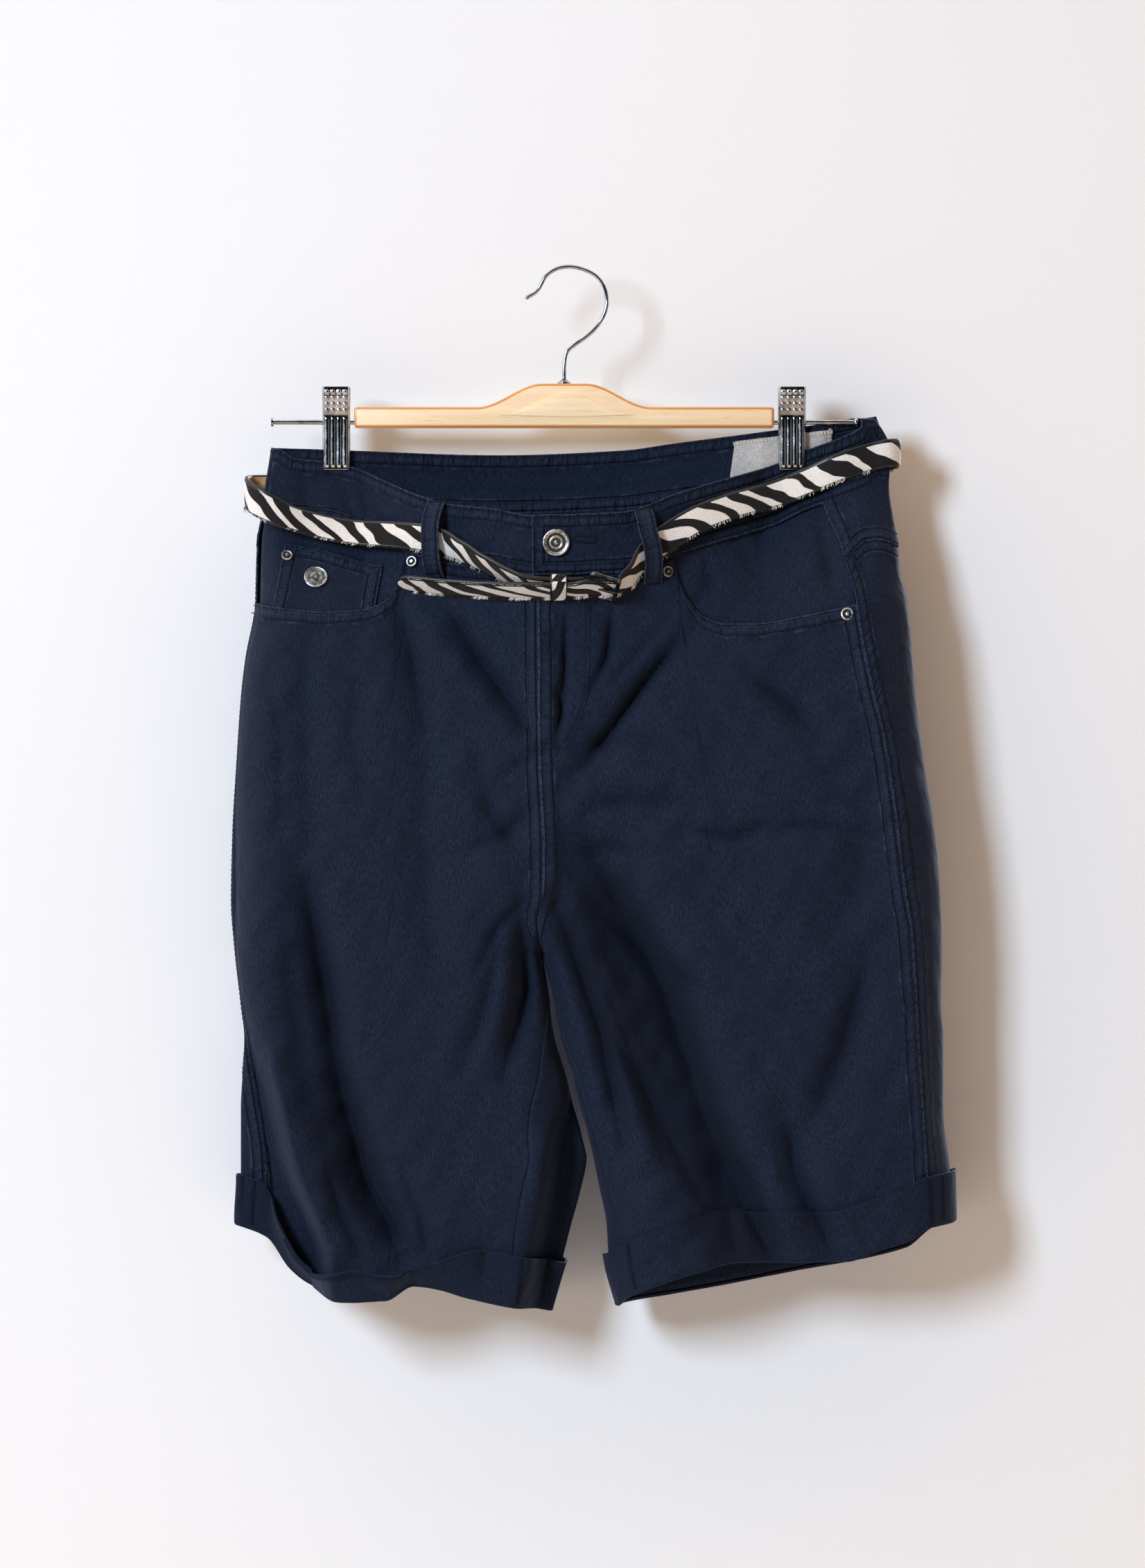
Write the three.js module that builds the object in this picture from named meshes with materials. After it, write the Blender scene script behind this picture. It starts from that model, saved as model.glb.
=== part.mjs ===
// Bermuda shorts on a clip hanger: five-pocket twill shorts with turned-up cuffs, a hide belt in
// the loops, and the wooden hanger whose clips pinch the waistband.
// Units are millimetres, +Z is up and the front faces -Y. The origin is the inside top of the
// hanger's hook, where a rail touches it. Right and left are the wearer's: right lies at -X.
import * as THREE from 'three';
import { mergeVertices } from 'three/addons/utils/BufferGeometryUtils.js';

// Driving dimensions
const CLOTH = 1.2;
const BAND_WALL = 1.8;
const BAND_HEIGHT = 36.5;
const CUFF_WALL = 1.6;
const CUFF_HEIGHT = 29;
const FLOP_SHARE = 0.5;
const SEAM = 0.3;
const FOLD_RADIUS = 2.8;
const CROTCH_Z = -424;
const CROTCH_RISE = 45;
const CENTRE_X = -18;
const BELT_WIDTH = 17.5;
const BELT_THICK = 2.6;
const BUTTON_RADIUS = 8.5;
const RIVET_RADIUS = 3.45;
const BADGE_RADIUS = 7.2;
const LOOP_WIDTH = 11.6;
const LOOP_WALL = 1.5;
const SEWN = 0.04;
const HANGER_X = -3.5;
const BAR_LENGTH = 261.4;
const CLIP_REACH = 142;
const CLIP_WIDTH = 17;
const ROD_RADIUS = 1.5;
const WIRE_RADIUS = 1.25;

// Finishes
function finish(color, roughness, metalness) {
  return new THREE.MeshStandardMaterial({ color, roughness, metalness });
}

const twill = finish('#27324a', 0.9, 0);
const hide = finish('#d9d6cf', 0.8, 0);
const nickel = finish('#c9c6be', 0.3, 1);
const gunmetal = finish('#4b4a48', 0.35, 1);
const chrome = finish('#c8cacc', 0.15, 1);
const wood = finish('#e9cfa2', 0.5, 0);
const paleWood = finish('#f3e2c0', 0.5, 0);
const tape = finish('#e3e1dc', 0.85, 0);

// Outer edge of each half and the centre seam, by height
const OUTLINE = [
  { z: -93, right: -184, left: 189 },
  { z: -103, right: -185, left: 196 },
  { z: -113, right: -186, left: 200 },
  { z: -136, right: -189.6, left: 198.7 },
  { z: -153, right: -191.8, left: 201 },
  { z: -168, right: -194.4, left: 203.8 },
  { z: -190, right: -195.2, left: 206 },
  { z: -208, right: -195.6, left: 210.3 },
  { z: -243, right: -201.7, left: 213.7 },
  { z: -265, right: -204.3, left: 215.4 },
  { z: -308, right: -207.3, left: 220.6 },
  { z: -351, right: -209.8, left: 227.5 },
  { z: -394, right: -210.7, left: 230.9 },
  { z: -424, right: -208.6, left: 231.8 },
  { z: -458, right: -204.7, left: 231.3 },
  { z: -480, right: -202.5, left: 232.6 },
  { z: -523, right: -205.1, left: 232.6 },
  { z: -566, right: -205.1, left: 237.4 },
  { z: -592, right: -206.8, left: 238.7 },
  { z: -650, right: -206.8, left: 239 },
];
const CENTRE_SEAM = [
  { z: -93, x: -20 },
  { z: -258, x: -18.9 },
  { z: -302, x: -18.5 },
  { z: -365, x: -15.9 },
  { z: -389, x: -16.3 },
  { z: -406, x: -20 },
  { z: -424, x: -18.1 },
];
// Inner edge of each leg, below the crotch
const LEG_INNER = [
  { z: -424, right: -18.1, left: -18.1 },
  { z: -449, right: -14, left: -10.8 },
  { z: -479, right: -9.5, left: -5.5 },
  { z: -504, right: -2, left: 2.2 },
  { z: -521, right: 2, left: 6 },
  { z: -534, right: 5.9, left: 9.9 },
  { z: -547, right: 9, left: 13 },
  { z: -554, right: 10.6, left: 14.6 },
  { z: -574, right: 6.9, left: 18.7 },
  { z: -595, right: 1.2, left: 22.8 },
  { z: -620, right: -5.2, left: 24.4 },
  { z: -647, right: -12.5, left: 31 },
  { z: -660, right: -16, left: 34 },
];
// Edges of the right leg's front where it bulges over its own side and inseam
const RIGHT_LOBE_OUTER = [
  { z: -430, x: -208 },
  { z: -447, x: -205.9 },
  { z: -474, x: -200.5 },
  { z: -504, x: -195.1 },
  { z: -530, x: -189.5 },
  { z: -559, x: -182.5 },
  { z: -577, x: -175.6 },
  { z: -593, x: -168.4 },
  { z: -611, x: -162.4 },
  { z: -650, x: -158 },
];
const RIGHT_LOBE_INNER = [
  { z: -500, x: -2 },
  { z: -517, x: 0 },
  { z: -574, x: -5 },
  { z: -612, x: -12.5 },
  { z: -650, x: -22 },
];
// Seams, as x by height or as turns round a half (0 centre front, 0.5 side, 1 centre back)
const LEFT_SIDE_SEAM = [
  { z: -110, x: 150 },
  { z: -147.5, x: 157.8 },
  { z: -172.4, x: 167.7 },
  { z: -183.2, x: 170.3 },
  { z: -202.5, x: 175.9 },
  { z: -227, x: 179.7 },
  { z: -256, x: 185.3 },
  { z: -295, x: 194.4 },
  { z: -341, x: 201.2 },
  { z: -384, x: 206.4 },
  { z: -415, x: 211.1 },
  { z: -485, x: 215.4 },
  { z: -565, x: 220.6 },
  { z: -620, x: 223.5 },
];
const RIGHT_SIDE_TURN = [
  { z: -440, turn: 0.5 },
  { z: -480, turn: 0.47 },
  { z: -517, turn: 0.43 },
  { z: -563, turn: 0.413 },
  { z: -650, turn: 0.41 },
];
const INSEAM_TURN = [
  { z: -424, right: 0, left: 0 },
  { z: -455, right: 0.022, left: 0.018 },
  { z: -495, right: 0.084, left: 0.038 },
  { z: -540, right: 0.129, left: 0.05 },
  { z: -574, right: 0.136, left: 0.058 },
  { z: -612, right: 0.13, left: 0.078 },
  { z: -650, right: 0.12, left: 0.08 },
];
// Upper edge of the waistband, front and back
const FRONT_TOP = [
  { x: -186, z: -112.7 },
  { x: -175, z: -118.7 },
  { x: -153.5, z: -120.4 },
  { x: -137, z: -124.3 },
  { x: -122.6, z: -130.7 },
  { x: -92.9, z: -143.2 },
  { x: -74, z: -148.4 },
  { x: -46.9, z: -151.4 },
  { x: -22.8, z: -155.5 },
  { x: 33.5, z: -153.5 },
  { x: 51.2, z: -148.4 },
  { x: 66.2, z: -142.3 },
  { x: 86.4, z: -135.9 },
  { x: 127.3, z: -123 },
  { x: 147.1, z: -113.5 },
  { x: 175.9, z: -103.6 },
  { x: 186.6, z: -98.8 },
  { x: 190, z: -94.2 },
];
const BACK_TOP = [
  { x: -186, z: -111.6 },
  { x: -135, z: -113.5 },
  { x: -47, z: -115.7 },
  { x: 33.5, z: -112.7 },
  { x: 66, z: -108.4 },
  { x: 121, z: -101.9 },
  { x: 162, z: -96.8 },
  { x: 186, z: -93 },
];
// Lower edge of each leg, front and back, and upper edge of its cuff
const RIGHT_HEM_FRONT = [
  { x: -207, z: -593.4 },
  { x: -188.8, z: -601 },
  { x: -174.6, z: -620.5 },
  { x: -163.4, z: -629.5 },
  { x: -141, z: -639 },
  { x: -114, z: -638.1 },
  { x: -95.9, z: -629 },
  { x: -79, z: -631.7 },
  { x: -63.2, z: -636.4 },
  { x: -33.1, z: -642.9 },
  { x: -12.5, z: -646.7 },
];
const RIGHT_HEM_BACK = [
  { x: -207, z: -593.4 },
  { x: -150, z: -606 },
  { x: -96, z: -618 },
  { x: -50, z: -632 },
  { x: -12.5, z: -646.7 },
];
const RIGHT_CUFF_TOP = [
  { x: -206, z: -565.5 },
  { x: -188.8, z: -565 },
  { x: -180, z: -592 },
  { x: -166.4, z: -618 },
  { x: -155, z: -625 },
  { x: -133, z: -622.2 },
  { x: -106, z: -626 },
  { x: -96.8, z: -622 },
  { x: -80.8, z: -616 },
  { x: -56.8, z: -609.3 },
  { x: -36, z: -611.9 },
  { x: -10.8, z: -619.5 },
];
const LEFT_HEM_FRONT = [
  { x: 31, z: -643 },
  { x: 36, z: -637.3 },
  { x: 57.2, z: -627.8 },
  { x: 78.3, z: -620.9 },
  { x: 104.9, z: -614.9 },
  { x: 170, z: -614 },
  { x: 189.2, z: -607.6 },
  { x: 210.3, z: -600.7 },
  { x: 220, z: -593.6 },
  { x: 238.7, z: -590.8 },
];
const LEFT_HEM_BACK = [
  { x: 31, z: -643.7 },
  { x: 61.1, z: -639.8 },
  { x: 139.8, z: -625.2 },
  { x: 211.1, z: -610.2 },
  { x: 225.8, z: -597.7 },
  { x: 238.7, z: -590.8 },
];
// Edges of the pocket scoops and of the coin pocket's top
const RIGHT_SCOOP = [
  { x: -197, z: -208.1 },
  { x: -184.9, z: -211.6 },
  { x: -150.5, z: -215 },
  { x: -132.4, z: -214.1 },
  { x: -119.1, z: -210.7 },
  { x: -110.9, z: -205.1 },
  { x: -107, z: -198.2 },
  { x: -101.9, z: -178 },
];
const LEFT_SCOOP = [
  { x: 62.5, z: -178 },
  { x: 65.5, z: -190 },
  { x: 69.5, z: -200 },
  { x: 75.7, z: -210.7 },
  { x: 83.9, z: -218.4 },
  { x: 96.3, z: -222.3 },
  { x: 112.7, z: -222.3 },
  { x: 148.4, z: -216.7 },
  { x: 177, z: -210.5 },
];
const COIN_TOP = [
  { x: -176.7, z: -172.2 },
  { x: -158.7, z: -174.6 },
  { x: -142.3, z: -179.3 },
  { x: -121.7, z: -185.3 },
];
const LEFT_YOKE = [
  { x: 170.7, z: -183.2 },
  { x: 176.3, z: -176.3 },
  { x: 184, z: -170.3 },
  { x: 192.2, z: -169.4 },
  { x: 204.7, z: -172.9 },
];
// How far front and back stand from the middle plane, by height
const FULLNESS = [
  { z: -93, front: 14, back: 6 },
  { z: -160, front: 30, back: 14 },
  { z: -208, front: 34, back: 22 },
  { z: -300, front: 38, back: 30 },
  { z: -424, front: 38, back: 30 },
  { z: -520, front: 36, back: 30 },
  { z: -650, front: 36, back: 32 },
];

// The largest folds: each runs through three points and sinks the front by its depth
const FOLDS = [
  { x0: -107, z0: -208, x1: -98, z1: -235, x2: -89, z2: -285, width: 9, depth: 5 },
  { x0: -89, z0: -275, x1: -90, z1: -350, x2: -82, z2: -450, width: 14, depth: 2.5 },
  { x0: -78, z0: -205, x1: -56, z1: -243, x2: -22, z2: -292, width: 8, depth: 6.5 },
  { x0: -163, z0: -215, x1: -162, z1: -310, x2: -160, z2: -390, width: 14, depth: 2.5 },
  { x0: -162, z0: -385, x1: -150, z1: -455, x2: -139, z2: -525, width: 10, depth: 9 },
  { x0: -141, z0: -510, x1: -125, z1: -570, x2: -103, z2: -612, width: 11, depth: 13 },
  { x0: -29, z0: -402, x1: -27, z1: -450, x2: -40, z2: -502, width: 8, depth: 8 },
  { x0: 77, z0: -224, x1: 48, z1: -256, x2: 4, z2: -315, width: 7, depth: 4 },
  { x0: -8, z0: -394, x1: 18, z1: -470, x2: 34, z2: -545, width: 8, depth: 7 },
  { x0: 14, z0: -362, x1: 60, z1: -450, x2: 96, z2: -560, width: 15, depth: 10 },
  { x0: 134, z0: -525, x1: 141, z1: -565, x2: 163, z2: -612, width: 9, depth: 5 },
];

const TURN = 2 * Math.PI;
const clamp = (value, low, high) => Math.min(high, Math.max(low, value));
const lerp = (a, b, share) => a + (b - a) * share;
const vec = (x, y, z) => new THREE.Vector3(x, y, z);
const steps = (count) => Array.from({ length: count + 1 }, (_, i) => i / count);

function smooth(low, high, value) {
  const share = clamp((value - low) / (high - low), 0, 1);
  return share * share * (3 - 2 * share);
}

// Quarter ellipse: 0 at an edge, 1 once inset by the reach
function shoulder(inset, reach) {
  const share = 1 - clamp(inset / reach, 0, 1);
  return Math.sqrt(1 - share * share);
}

// A smooth curve through a table, value column over key column, that never overshoots its rows
function curve(rows, key, value) {
  const points = rows.map((row) => [row[key], row[value]]).sort((a, b) => a[0] - b[0]);
  const last = points.length - 1;
  const slopes = points.slice(1).map((p, i) => (p[1] - points[i][1]) / (p[0] - points[i][0]));
  const tangents = points.map((_, i) => {
    if (i === 0) return slopes[0];
    if (i === last) return slopes[last - 1];
    const product = slopes[i - 1] * slopes[i];
    return product <= 0 ? 0 : (2 * product) / (slopes[i - 1] + slopes[i]);
  });
  return (at) => {
    if (at <= points[0][0]) return points[0][1];
    if (at >= points[last][0]) return points[last][1];
    let i = 0;
    while (at > points[i + 1][0]) i += 1;
    const span = points[i + 1][0] - points[i][0];
    const t = (at - points[i][0]) / span;
    const rise = points[i + 1][1] - points[i][1];
    const bend = t * (1 - t) * ((1 - t) * tangents[i] - t * tangents[i + 1]) * span;
    const ease = t * t * (3 - 2 * t);
    return points[i][1] + rise * ease + bend;
  };
}

const outer = { right: curve(OUTLINE, 'z', 'right'), left: curve(OUTLINE, 'z', 'left') };
const legInner = { right: curve(LEG_INNER, 'z', 'right'), left: curve(LEG_INNER, 'z', 'left') };
const centreSeam = curve(CENTRE_SEAM, 'z', 'x');
const rightLobeOuter = curve(RIGHT_LOBE_OUTER, 'z', 'x');
const rightLobeInner = curve(RIGHT_LOBE_INNER, 'z', 'x');
const leftSideSeam = curve(LEFT_SIDE_SEAM, 'z', 'x');
const rightSideTurn = curve(RIGHT_SIDE_TURN, 'z', 'turn');
const inseamTurn = { right: curve(INSEAM_TURN, 'z', 'right'), left: curve(INSEAM_TURN, 'z', 'left') };
const frontTop = curve(FRONT_TOP, 'x', 'z');
const backTop = curve(BACK_TOP, 'x', 'z');
const hemFront = { right: curve(RIGHT_HEM_FRONT, 'x', 'z'), left: curve(LEFT_HEM_FRONT, 'x', 'z') };
const hemBack = { right: curve(RIGHT_HEM_BACK, 'x', 'z'), left: curve(LEFT_HEM_BACK, 'x', 'z') };
const rightCuffTop = curve(RIGHT_CUFF_TOP, 'x', 'z');
const scoop = { right: curve(RIGHT_SCOOP, 'x', 'z'), left: curve(LEFT_SCOOP, 'x', 'z') };
const coinTop = curve(COIN_TOP, 'x', 'z');
const leftYoke = curve(LEFT_YOKE, 'x', 'z');
const fullness = { front: curve(FULLNESS, 'z', 'front'), back: curve(FULLNESS, 'z', 'back') };

// Edges of a half at a height, and how much of it is still torso
const innerEdge = (side, z) => (z > CROTCH_Z ? centreSeam(z) : legInner[side](z));
const torsoShare = (z) => shoulder(z - CROTCH_Z, CROTCH_RISE);
const outward = (side) => (side === 'right' ? -1 : 1);

// The waist's edges: each lifts off the middle plane between the clips and bumps out beyond them,
// and between two drops below the waist the fullness of the hips takes over
const CLIP_HOLD = 19;
const BUMP_LENGTH = 34;
const FRONT_LIP = { lift: 42, bump: 5, ends: 8, hipsAt: 118 };
const BACK_LIP = { lift: 12, bump: 4, ends: 26, hipsAt: 130 };
const LIP_ROUND = 8;

// How far in from its edges the garment is rounded, and how far its folds stay off them
const ROUND = { frontOuter: 30, frontInner: 40, backOuter: 38, backInner: 40 };
const LOBE_RISE = 16;
const LOBE_BLEND = 12;
const FOLD_FREE = { outer: 18, inner: 14 };

// How far a stretch of edge lifts off the middle plane between the two clips, and outside them
function pinched(x, { lift, bump }) {
  const right = HANGER_X - CLIP_REACH;
  const left = HANGER_X + CLIP_REACH;
  if (x > right + CLIP_HOLD && x < left - CLIP_HOLD) {
    const share = (x - right - CLIP_HOLD) / (left - right - 2 * CLIP_HOLD);
    return lift * Math.sin(Math.PI * share) ** 0.8;
  }
  const beyond = (x < 0 ? right - x : x - left) - CLIP_HOLD;
  return bump * Math.sin(Math.PI * clamp(beyond / BUMP_LENGTH, 0, 1));
}

// Depth of all folds at a point of the front
function folded(x, z) {
  let total = 0;
  for (const f of FOLDS) {
    const ends = [[f.x0, f.z0, f.x1, f.z1, 0], [f.x1, f.z1, f.x2, f.z2, 0.5]];
    let best = Infinity;
    let along = 0;
    for (const [ax, az, bx, bz, start] of ends) {
      const dx = bx - ax;
      const dz = bz - az;
      const t = clamp(((x - ax) * dx + (z - az) * dz) / (dx * dx + dz * dz), 0, 1);
      const gap = Math.hypot(x - ax - dx * t, z - az - dz * t);
      if (gap < best) {
        best = gap;
        along = start + t / 2;
      }
    }
    const fade = Math.sqrt(Math.sin(Math.PI * clamp(along, 0.04, 0.96)));
    total += f.depth * fade * Math.exp(-((best / f.width) ** 2));
  }
  return total;
}

// Where a bulge starts inside the edge it rises as an S, and at the very edge as a round shoulder
function lobeShare(inset, strip, reach) {
  return lerp(shoulder(inset, reach), smooth(0, LOBE_RISE, inset), smooth(0, LOBE_BLEND, strip));
}

// Half the thickness of the folded edge, where front and back meet
function rimDepth(edge, inEdge, torso) {
  const inner = lerp(shoulder(inEdge, FOLD_RADIUS), 1, torso);
  return FOLD_RADIUS * shoulder(edge, FOLD_RADIUS) * inner;
}

function frontDepth(side, x, z) {
  const sign = outward(side);
  const edge = (outer[side](z) - x) * sign;
  const inEdge = (x - innerEdge(side, z)) * sign;
  const torso = torsoShare(z);
  const outStrip = side === 'right' ? Math.max(0, rightLobeOuter(z) - outer.right(z)) : 0;
  const lobeIn = side === 'right' && z < CROTCH_Z ? rightLobeInner(z) : innerEdge(side, z);
  const inStrip = side === 'right' && z < CROTCH_Z ? Math.max(0, innerEdge(side, z) - lobeIn) : 0;
  const outShare = lobeShare(edge - outStrip, outStrip, ROUND.frontOuter);
  const inShare = lerp(lobeShare(inEdge - inStrip, inStrip, ROUND.frontInner), 1, torso);
  const body = fullness.front(z) * outShare * inShare;
  const lip = pinched(x, FRONT_LIP) * shoulder(edge, LIP_ROUND);
  const below = smooth(FRONT_LIP.ends, FRONT_LIP.hipsAt, frontTop(x) - z);
  const freeOut = smooth(0, FOLD_FREE.outer, edge - outStrip);
  const freeIn = lerp(smooth(0, FOLD_FREE.inner, inEdge - inStrip), 1, torso);
  return rimDepth(edge, inEdge, torso) + lerp(lip, body, below) - folded(x, z) * freeOut * freeIn * below;
}

function backDepth(side, x, z) {
  const sign = outward(side);
  const edge = (outer[side](z) - x) * sign;
  const inEdge = (x - innerEdge(side, z)) * sign;
  const torso = torsoShare(z);
  const inShare = lerp(shoulder(inEdge, ROUND.backInner), 1, torso);
  const body = fullness.back(z) * shoulder(edge, ROUND.backOuter) * inShare;
  const lip = pinched(x, BACK_LIP) * shoulder(edge, LIP_ROUND);
  const below = smooth(BACK_LIP.ends, BACK_LIP.hipsAt, backTop(x) - z);
  return rimDepth(edge, inEdge, torso) + lerp(lip, body, below);
}

// A place on the garment is { side, back, x, z }; these give its point and its outward normal
const depthAt = (p) => (p.back ? backDepth : frontDepth)(p.side, p.x, p.z);

function surfacePoint(p, lift = 0) {
  const facing = p.back ? 1 : -1;
  const point = vec(p.x, facing * depthAt(p), p.z);
  return lift === 0 ? point : point.addScaledVector(surfaceNormal(p), lift);
}

function surfaceNormal(p) {
  const h = 0.001;
  const dx = (depthAt({ ...p, x: p.x + h }) - depthAt({ ...p, x: p.x - h })) / (2 * h);
  const dz = (depthAt({ ...p, z: p.z + h }) - depthAt({ ...p, z: p.z - h })) / (2 * h);
  return vec(-dx, p.back ? 1 : -1, -dz).normalize();
}

// A place by its turn round one half: 0 centre front or inner leg, 0.5 the side, 1 centre back
function placeAtTurn(side, turn, z) {
  const back = turn >= 0.5 && turn <= 1;
  const share = (1 - Math.cos(TURN * turn)) / 2;
  return { side, back, x: lerp(innerEdge(side, z), outer[side](z), share), z };
}

function turnAtX(side, x, z) {
  const inX = innerEdge(side, z);
  return Math.acos(1 - 2 * clamp((x - inX) / (outer[side](z) - inX), 0, 1)) / TURN;
}

// Closed solid between two grids of points, rows of columns; ring joins the last column to the first
function slab(outerGrid, innerGrid, material, name, ring = false) {
  const columns = outerGrid.length;
  const rows = outerGrid[0].length;
  const points = [];
  for (const grid of [outerGrid, innerGrid]) {
    for (const column of grid) points.push(...column);
  }
  const at = (layer, i, j) => layer * columns * rows + (i % columns) * rows + j;
  const faces = [];
  const quad = (a, b, c, d) => faces.push(a, b, c, a, c, d);
  const spans = ring ? columns : columns - 1;
  for (let i = 0; i < spans; i += 1) {
    for (let j = 0; j < rows - 1; j += 1) {
      quad(at(0, i, j), at(0, i + 1, j), at(0, i + 1, j + 1), at(0, i, j + 1));
      quad(at(1, i, j), at(1, i, j + 1), at(1, i + 1, j + 1), at(1, i + 1, j));
    }
    quad(at(0, i, 0), at(1, i, 0), at(1, i + 1, 0), at(0, i + 1, 0));
    quad(at(0, i, rows - 1), at(0, i + 1, rows - 1), at(1, i + 1, rows - 1), at(1, i, rows - 1));
  }
  if (!ring) {
    for (let j = 0; j < rows - 1; j += 1) {
      quad(at(0, 0, j), at(0, 0, j + 1), at(1, 0, j + 1), at(1, 0, j));
      const i = columns - 1;
      quad(at(0, i, j), at(1, i, j), at(1, i, j + 1), at(0, i, j + 1));
    }
  }
  return solid(points, faces, material, name);
}

// A mesh from points and triangles, its faces turned outward
function solid(points, faces, material, name) {
  let volume = 0;
  for (let k = 0; k < faces.length; k += 3) {
    const [a, b, c] = [points[faces[k]], points[faces[k + 1]], points[faces[k + 2]]];
    volume += a.dot(b.clone().cross(c));
  }
  const order = volume > 0 ? faces : faces.toReversed();
  const geometry = new THREE.BufferGeometry();
  const numbers = points.flatMap((p) => p.toArray());
  geometry.setAttribute('position', new THREE.Float32BufferAttribute(numbers, 3));
  geometry.setIndex(order);
  return named(geometry, material, name);
}

function named(geometry, material, name) {
  geometry.deleteAttribute('normal');
  geometry.deleteAttribute('uv');
  const merged = mergeVertices(geometry, 1e-3);
  merged.computeVertexNormals();
  const mesh = new THREE.Mesh(merged, material);
  mesh.name = name;
  return mesh;
}

// Pull the rim of a grid in by half a seam, so that neighbouring pieces stay apart
function trimmed(grid, amount) {
  const toward = (from, to) => from.clone().addScaledVector(to.clone().sub(from).normalize(), amount);
  const last = grid.length - 1;
  const cut = grid.map((column) => column.map((p) => p.clone()));
  for (let j = 0; j < grid[0].length; j += 1) {
    cut[0][j] = toward(grid[0][j], grid[1][j]);
    cut[last][j] = toward(grid[last][j], grid[last - 1][j]);
  }
  for (const column of cut) {
    const end = column.length - 1;
    const [a, b] = [toward(column[0], column[1]), toward(column[end], column[end - 1])];
    column[0] = a;
    column[end] = b;
  }
  return cut;
}

// The height where a column of a panel meets an edge that is drawn over x
function settle(column, edge, start) {
  let z = start;
  for (let i = 0; i < 12; i += 1) z = (z + edge(column(z))) / 2;
  return edge(column(z));
}

// A cloth wall: columns(share, z) gives places, top and bottom give heights over those places
function wall(name, material, spec) {
  const { columns, across, rows, top, bottom, lift = 0, thick = CLOTH, middle = null } = spec;
  const level = (zTop, zBottom, t) => {
    if (middle === null) return lerp(zTop, zBottom, t);
    if (t <= middle.share) return middle.z + (zTop - middle.z) * (1 - t / middle.share) ** 1.3;
    return lerp(middle.z, zBottom, (t - middle.share) / (1 - middle.share));
  };
  const places = across.map((share) => {
    const column = (z) => columns(share, z);
    const zTop = settle(column, top, -160);
    const zBottom = settle(column, bottom, -400);
    return rows.map((t) => column(level(zTop, zBottom, t)));
  });
  const outerGrid = places.map((column) => column.map((p) => surfacePoint(p, lift)));
  const innerGrid = places.map((column) => column.map((p) => surfacePoint(p, lift - thick)));
  return slab(trimmed(outerGrid, SEAM / 2), trimmed(innerGrid, SEAM / 2), material, name);
}

const bandBottom = (p) => (p.back ? backTop(p.x) : frontTop(p.x)) - BAND_HEIGHT;
const legBottom = (p) => (p.back ? hemBack : hemFront)[p.side](p.x);
const YOKE_CENTRE_Z = -212;
const YOKE_SIDE_Z = -172.9;

function sideTurn(side, z) {
  return side === 'right' ? rightSideTurn(z) : turnAtX('left', leftSideSeam(z), z);
}

function yokeBottom(p) {
  if (!p.back) return p.side === 'left' ? leftYoke(p.x) : YOKE_SIDE_Z;
  const inX = centreSeam(p.z);
  const share = clamp((p.x - inX) / (outer[p.side](p.z) - inX), 0, 1);
  return lerp(YOKE_CENTRE_Z, YOKE_SIDE_Z, share);
}

// Columns of the fronts and of the backs, shared by every piece that meets them at a seam. The
// left back wraps past its side, so it has a column on the fold between front and back.
const FRONT_COLUMNS = steps(17);
const BACK_COLUMNS = steps(15);
const WRAP = 4 / 15;

// Columns of the right front that stay with its bulging edge: inset from that edge, by share
const LOBE_COLUMNS = [
  { share: 11 / 17, inset: 27 },
  { share: 12 / 17, inset: 15 },
  { share: 13 / 17, inset: 9 },
  { share: 14 / 17, inset: 4.5 },
  { share: 15 / 17, inset: 0 },
];
const lobeInset = curve(LOBE_COLUMNS, 'share', 'inset');

function lobeX(share, z, from, to) {
  const edge = rightLobeOuter(z);
  const first = LOBE_COLUMNS[0];
  const last = LOBE_COLUMNS.at(-1);
  if (share < first.share) return lerp(from, edge + first.inset, share / first.share);
  if (share > last.share) return lerp(edge, to, (share - last.share) / (1 - last.share));
  return edge + lobeInset(share);
}

function frontTurn(side, share, z) {
  const from = inseamTurn[side](z);
  const to = sideTurn(side, z);
  const even = lerp(from, to, share);
  if (side === 'left' || z > CROTCH_Z) return even;
  const follow = smooth(0, 10, rightLobeOuter(z) - outer.right(z));
  const xAt = (turn) => placeAtTurn(side, turn, z).x;
  return turnAtX(side, lerp(xAt(even), lobeX(share, z, xAt(from), xAt(to)), follow), z);
}

function backTurn(side, share, z) {
  const end = 1 + inseamTurn[side](z);
  if (side === 'right') return lerp(rightSideTurn(z), end, share);
  if (share <= WRAP) return lerp(sideTurn(side, z), 0.5, share / WRAP);
  return lerp(0.5, end, (share - WRAP) / (1 - WRAP));
}

const frontColumn = (side, share, z) => placeAtTurn(side, frontTurn(side, share, z), z);
const backColumn = (side, share, z) => placeAtTurn(side, backTurn(side, share, z), z);

// Rows that pass through the crotch, so that both halves share their points on the centre seam
const UPPER_ROWS = 14;
const LOWER_ROWS = 9;
const bodyRows = steps(UPPER_ROWS + LOWER_ROWS);
const crotchRow = { share: UPPER_ROWS / (UPPER_ROWS + LOWER_ROWS), z: CROTCH_Z };

function front(side) {
  const scoopStart = side === 'right' ? -101.9 : 62.5;
  const inScoop = (x) => (side === 'right' ? x < scoopStart : x > scoopStart);
  const top = (p) => (inScoop(p.x) ? Math.min(bandBottom(p), scoop[side](p.x)) : bandBottom(p));
  return wall(`front_${side}`, twill, {
    columns: (share, z) => frontColumn(side, share, z),
    top, bottom: legBottom, across: FRONT_COLUMNS, rows: bodyRows, middle: crotchRow,
  });
}

function back(side) {
  return wall(`back_${side}`, twill, {
    columns: (share, z) => backColumn(side, share, z),
    top: yokeBottom, bottom: legBottom, across: BACK_COLUMNS, rows: bodyRows, middle: crotchRow,
  });
}

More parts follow.
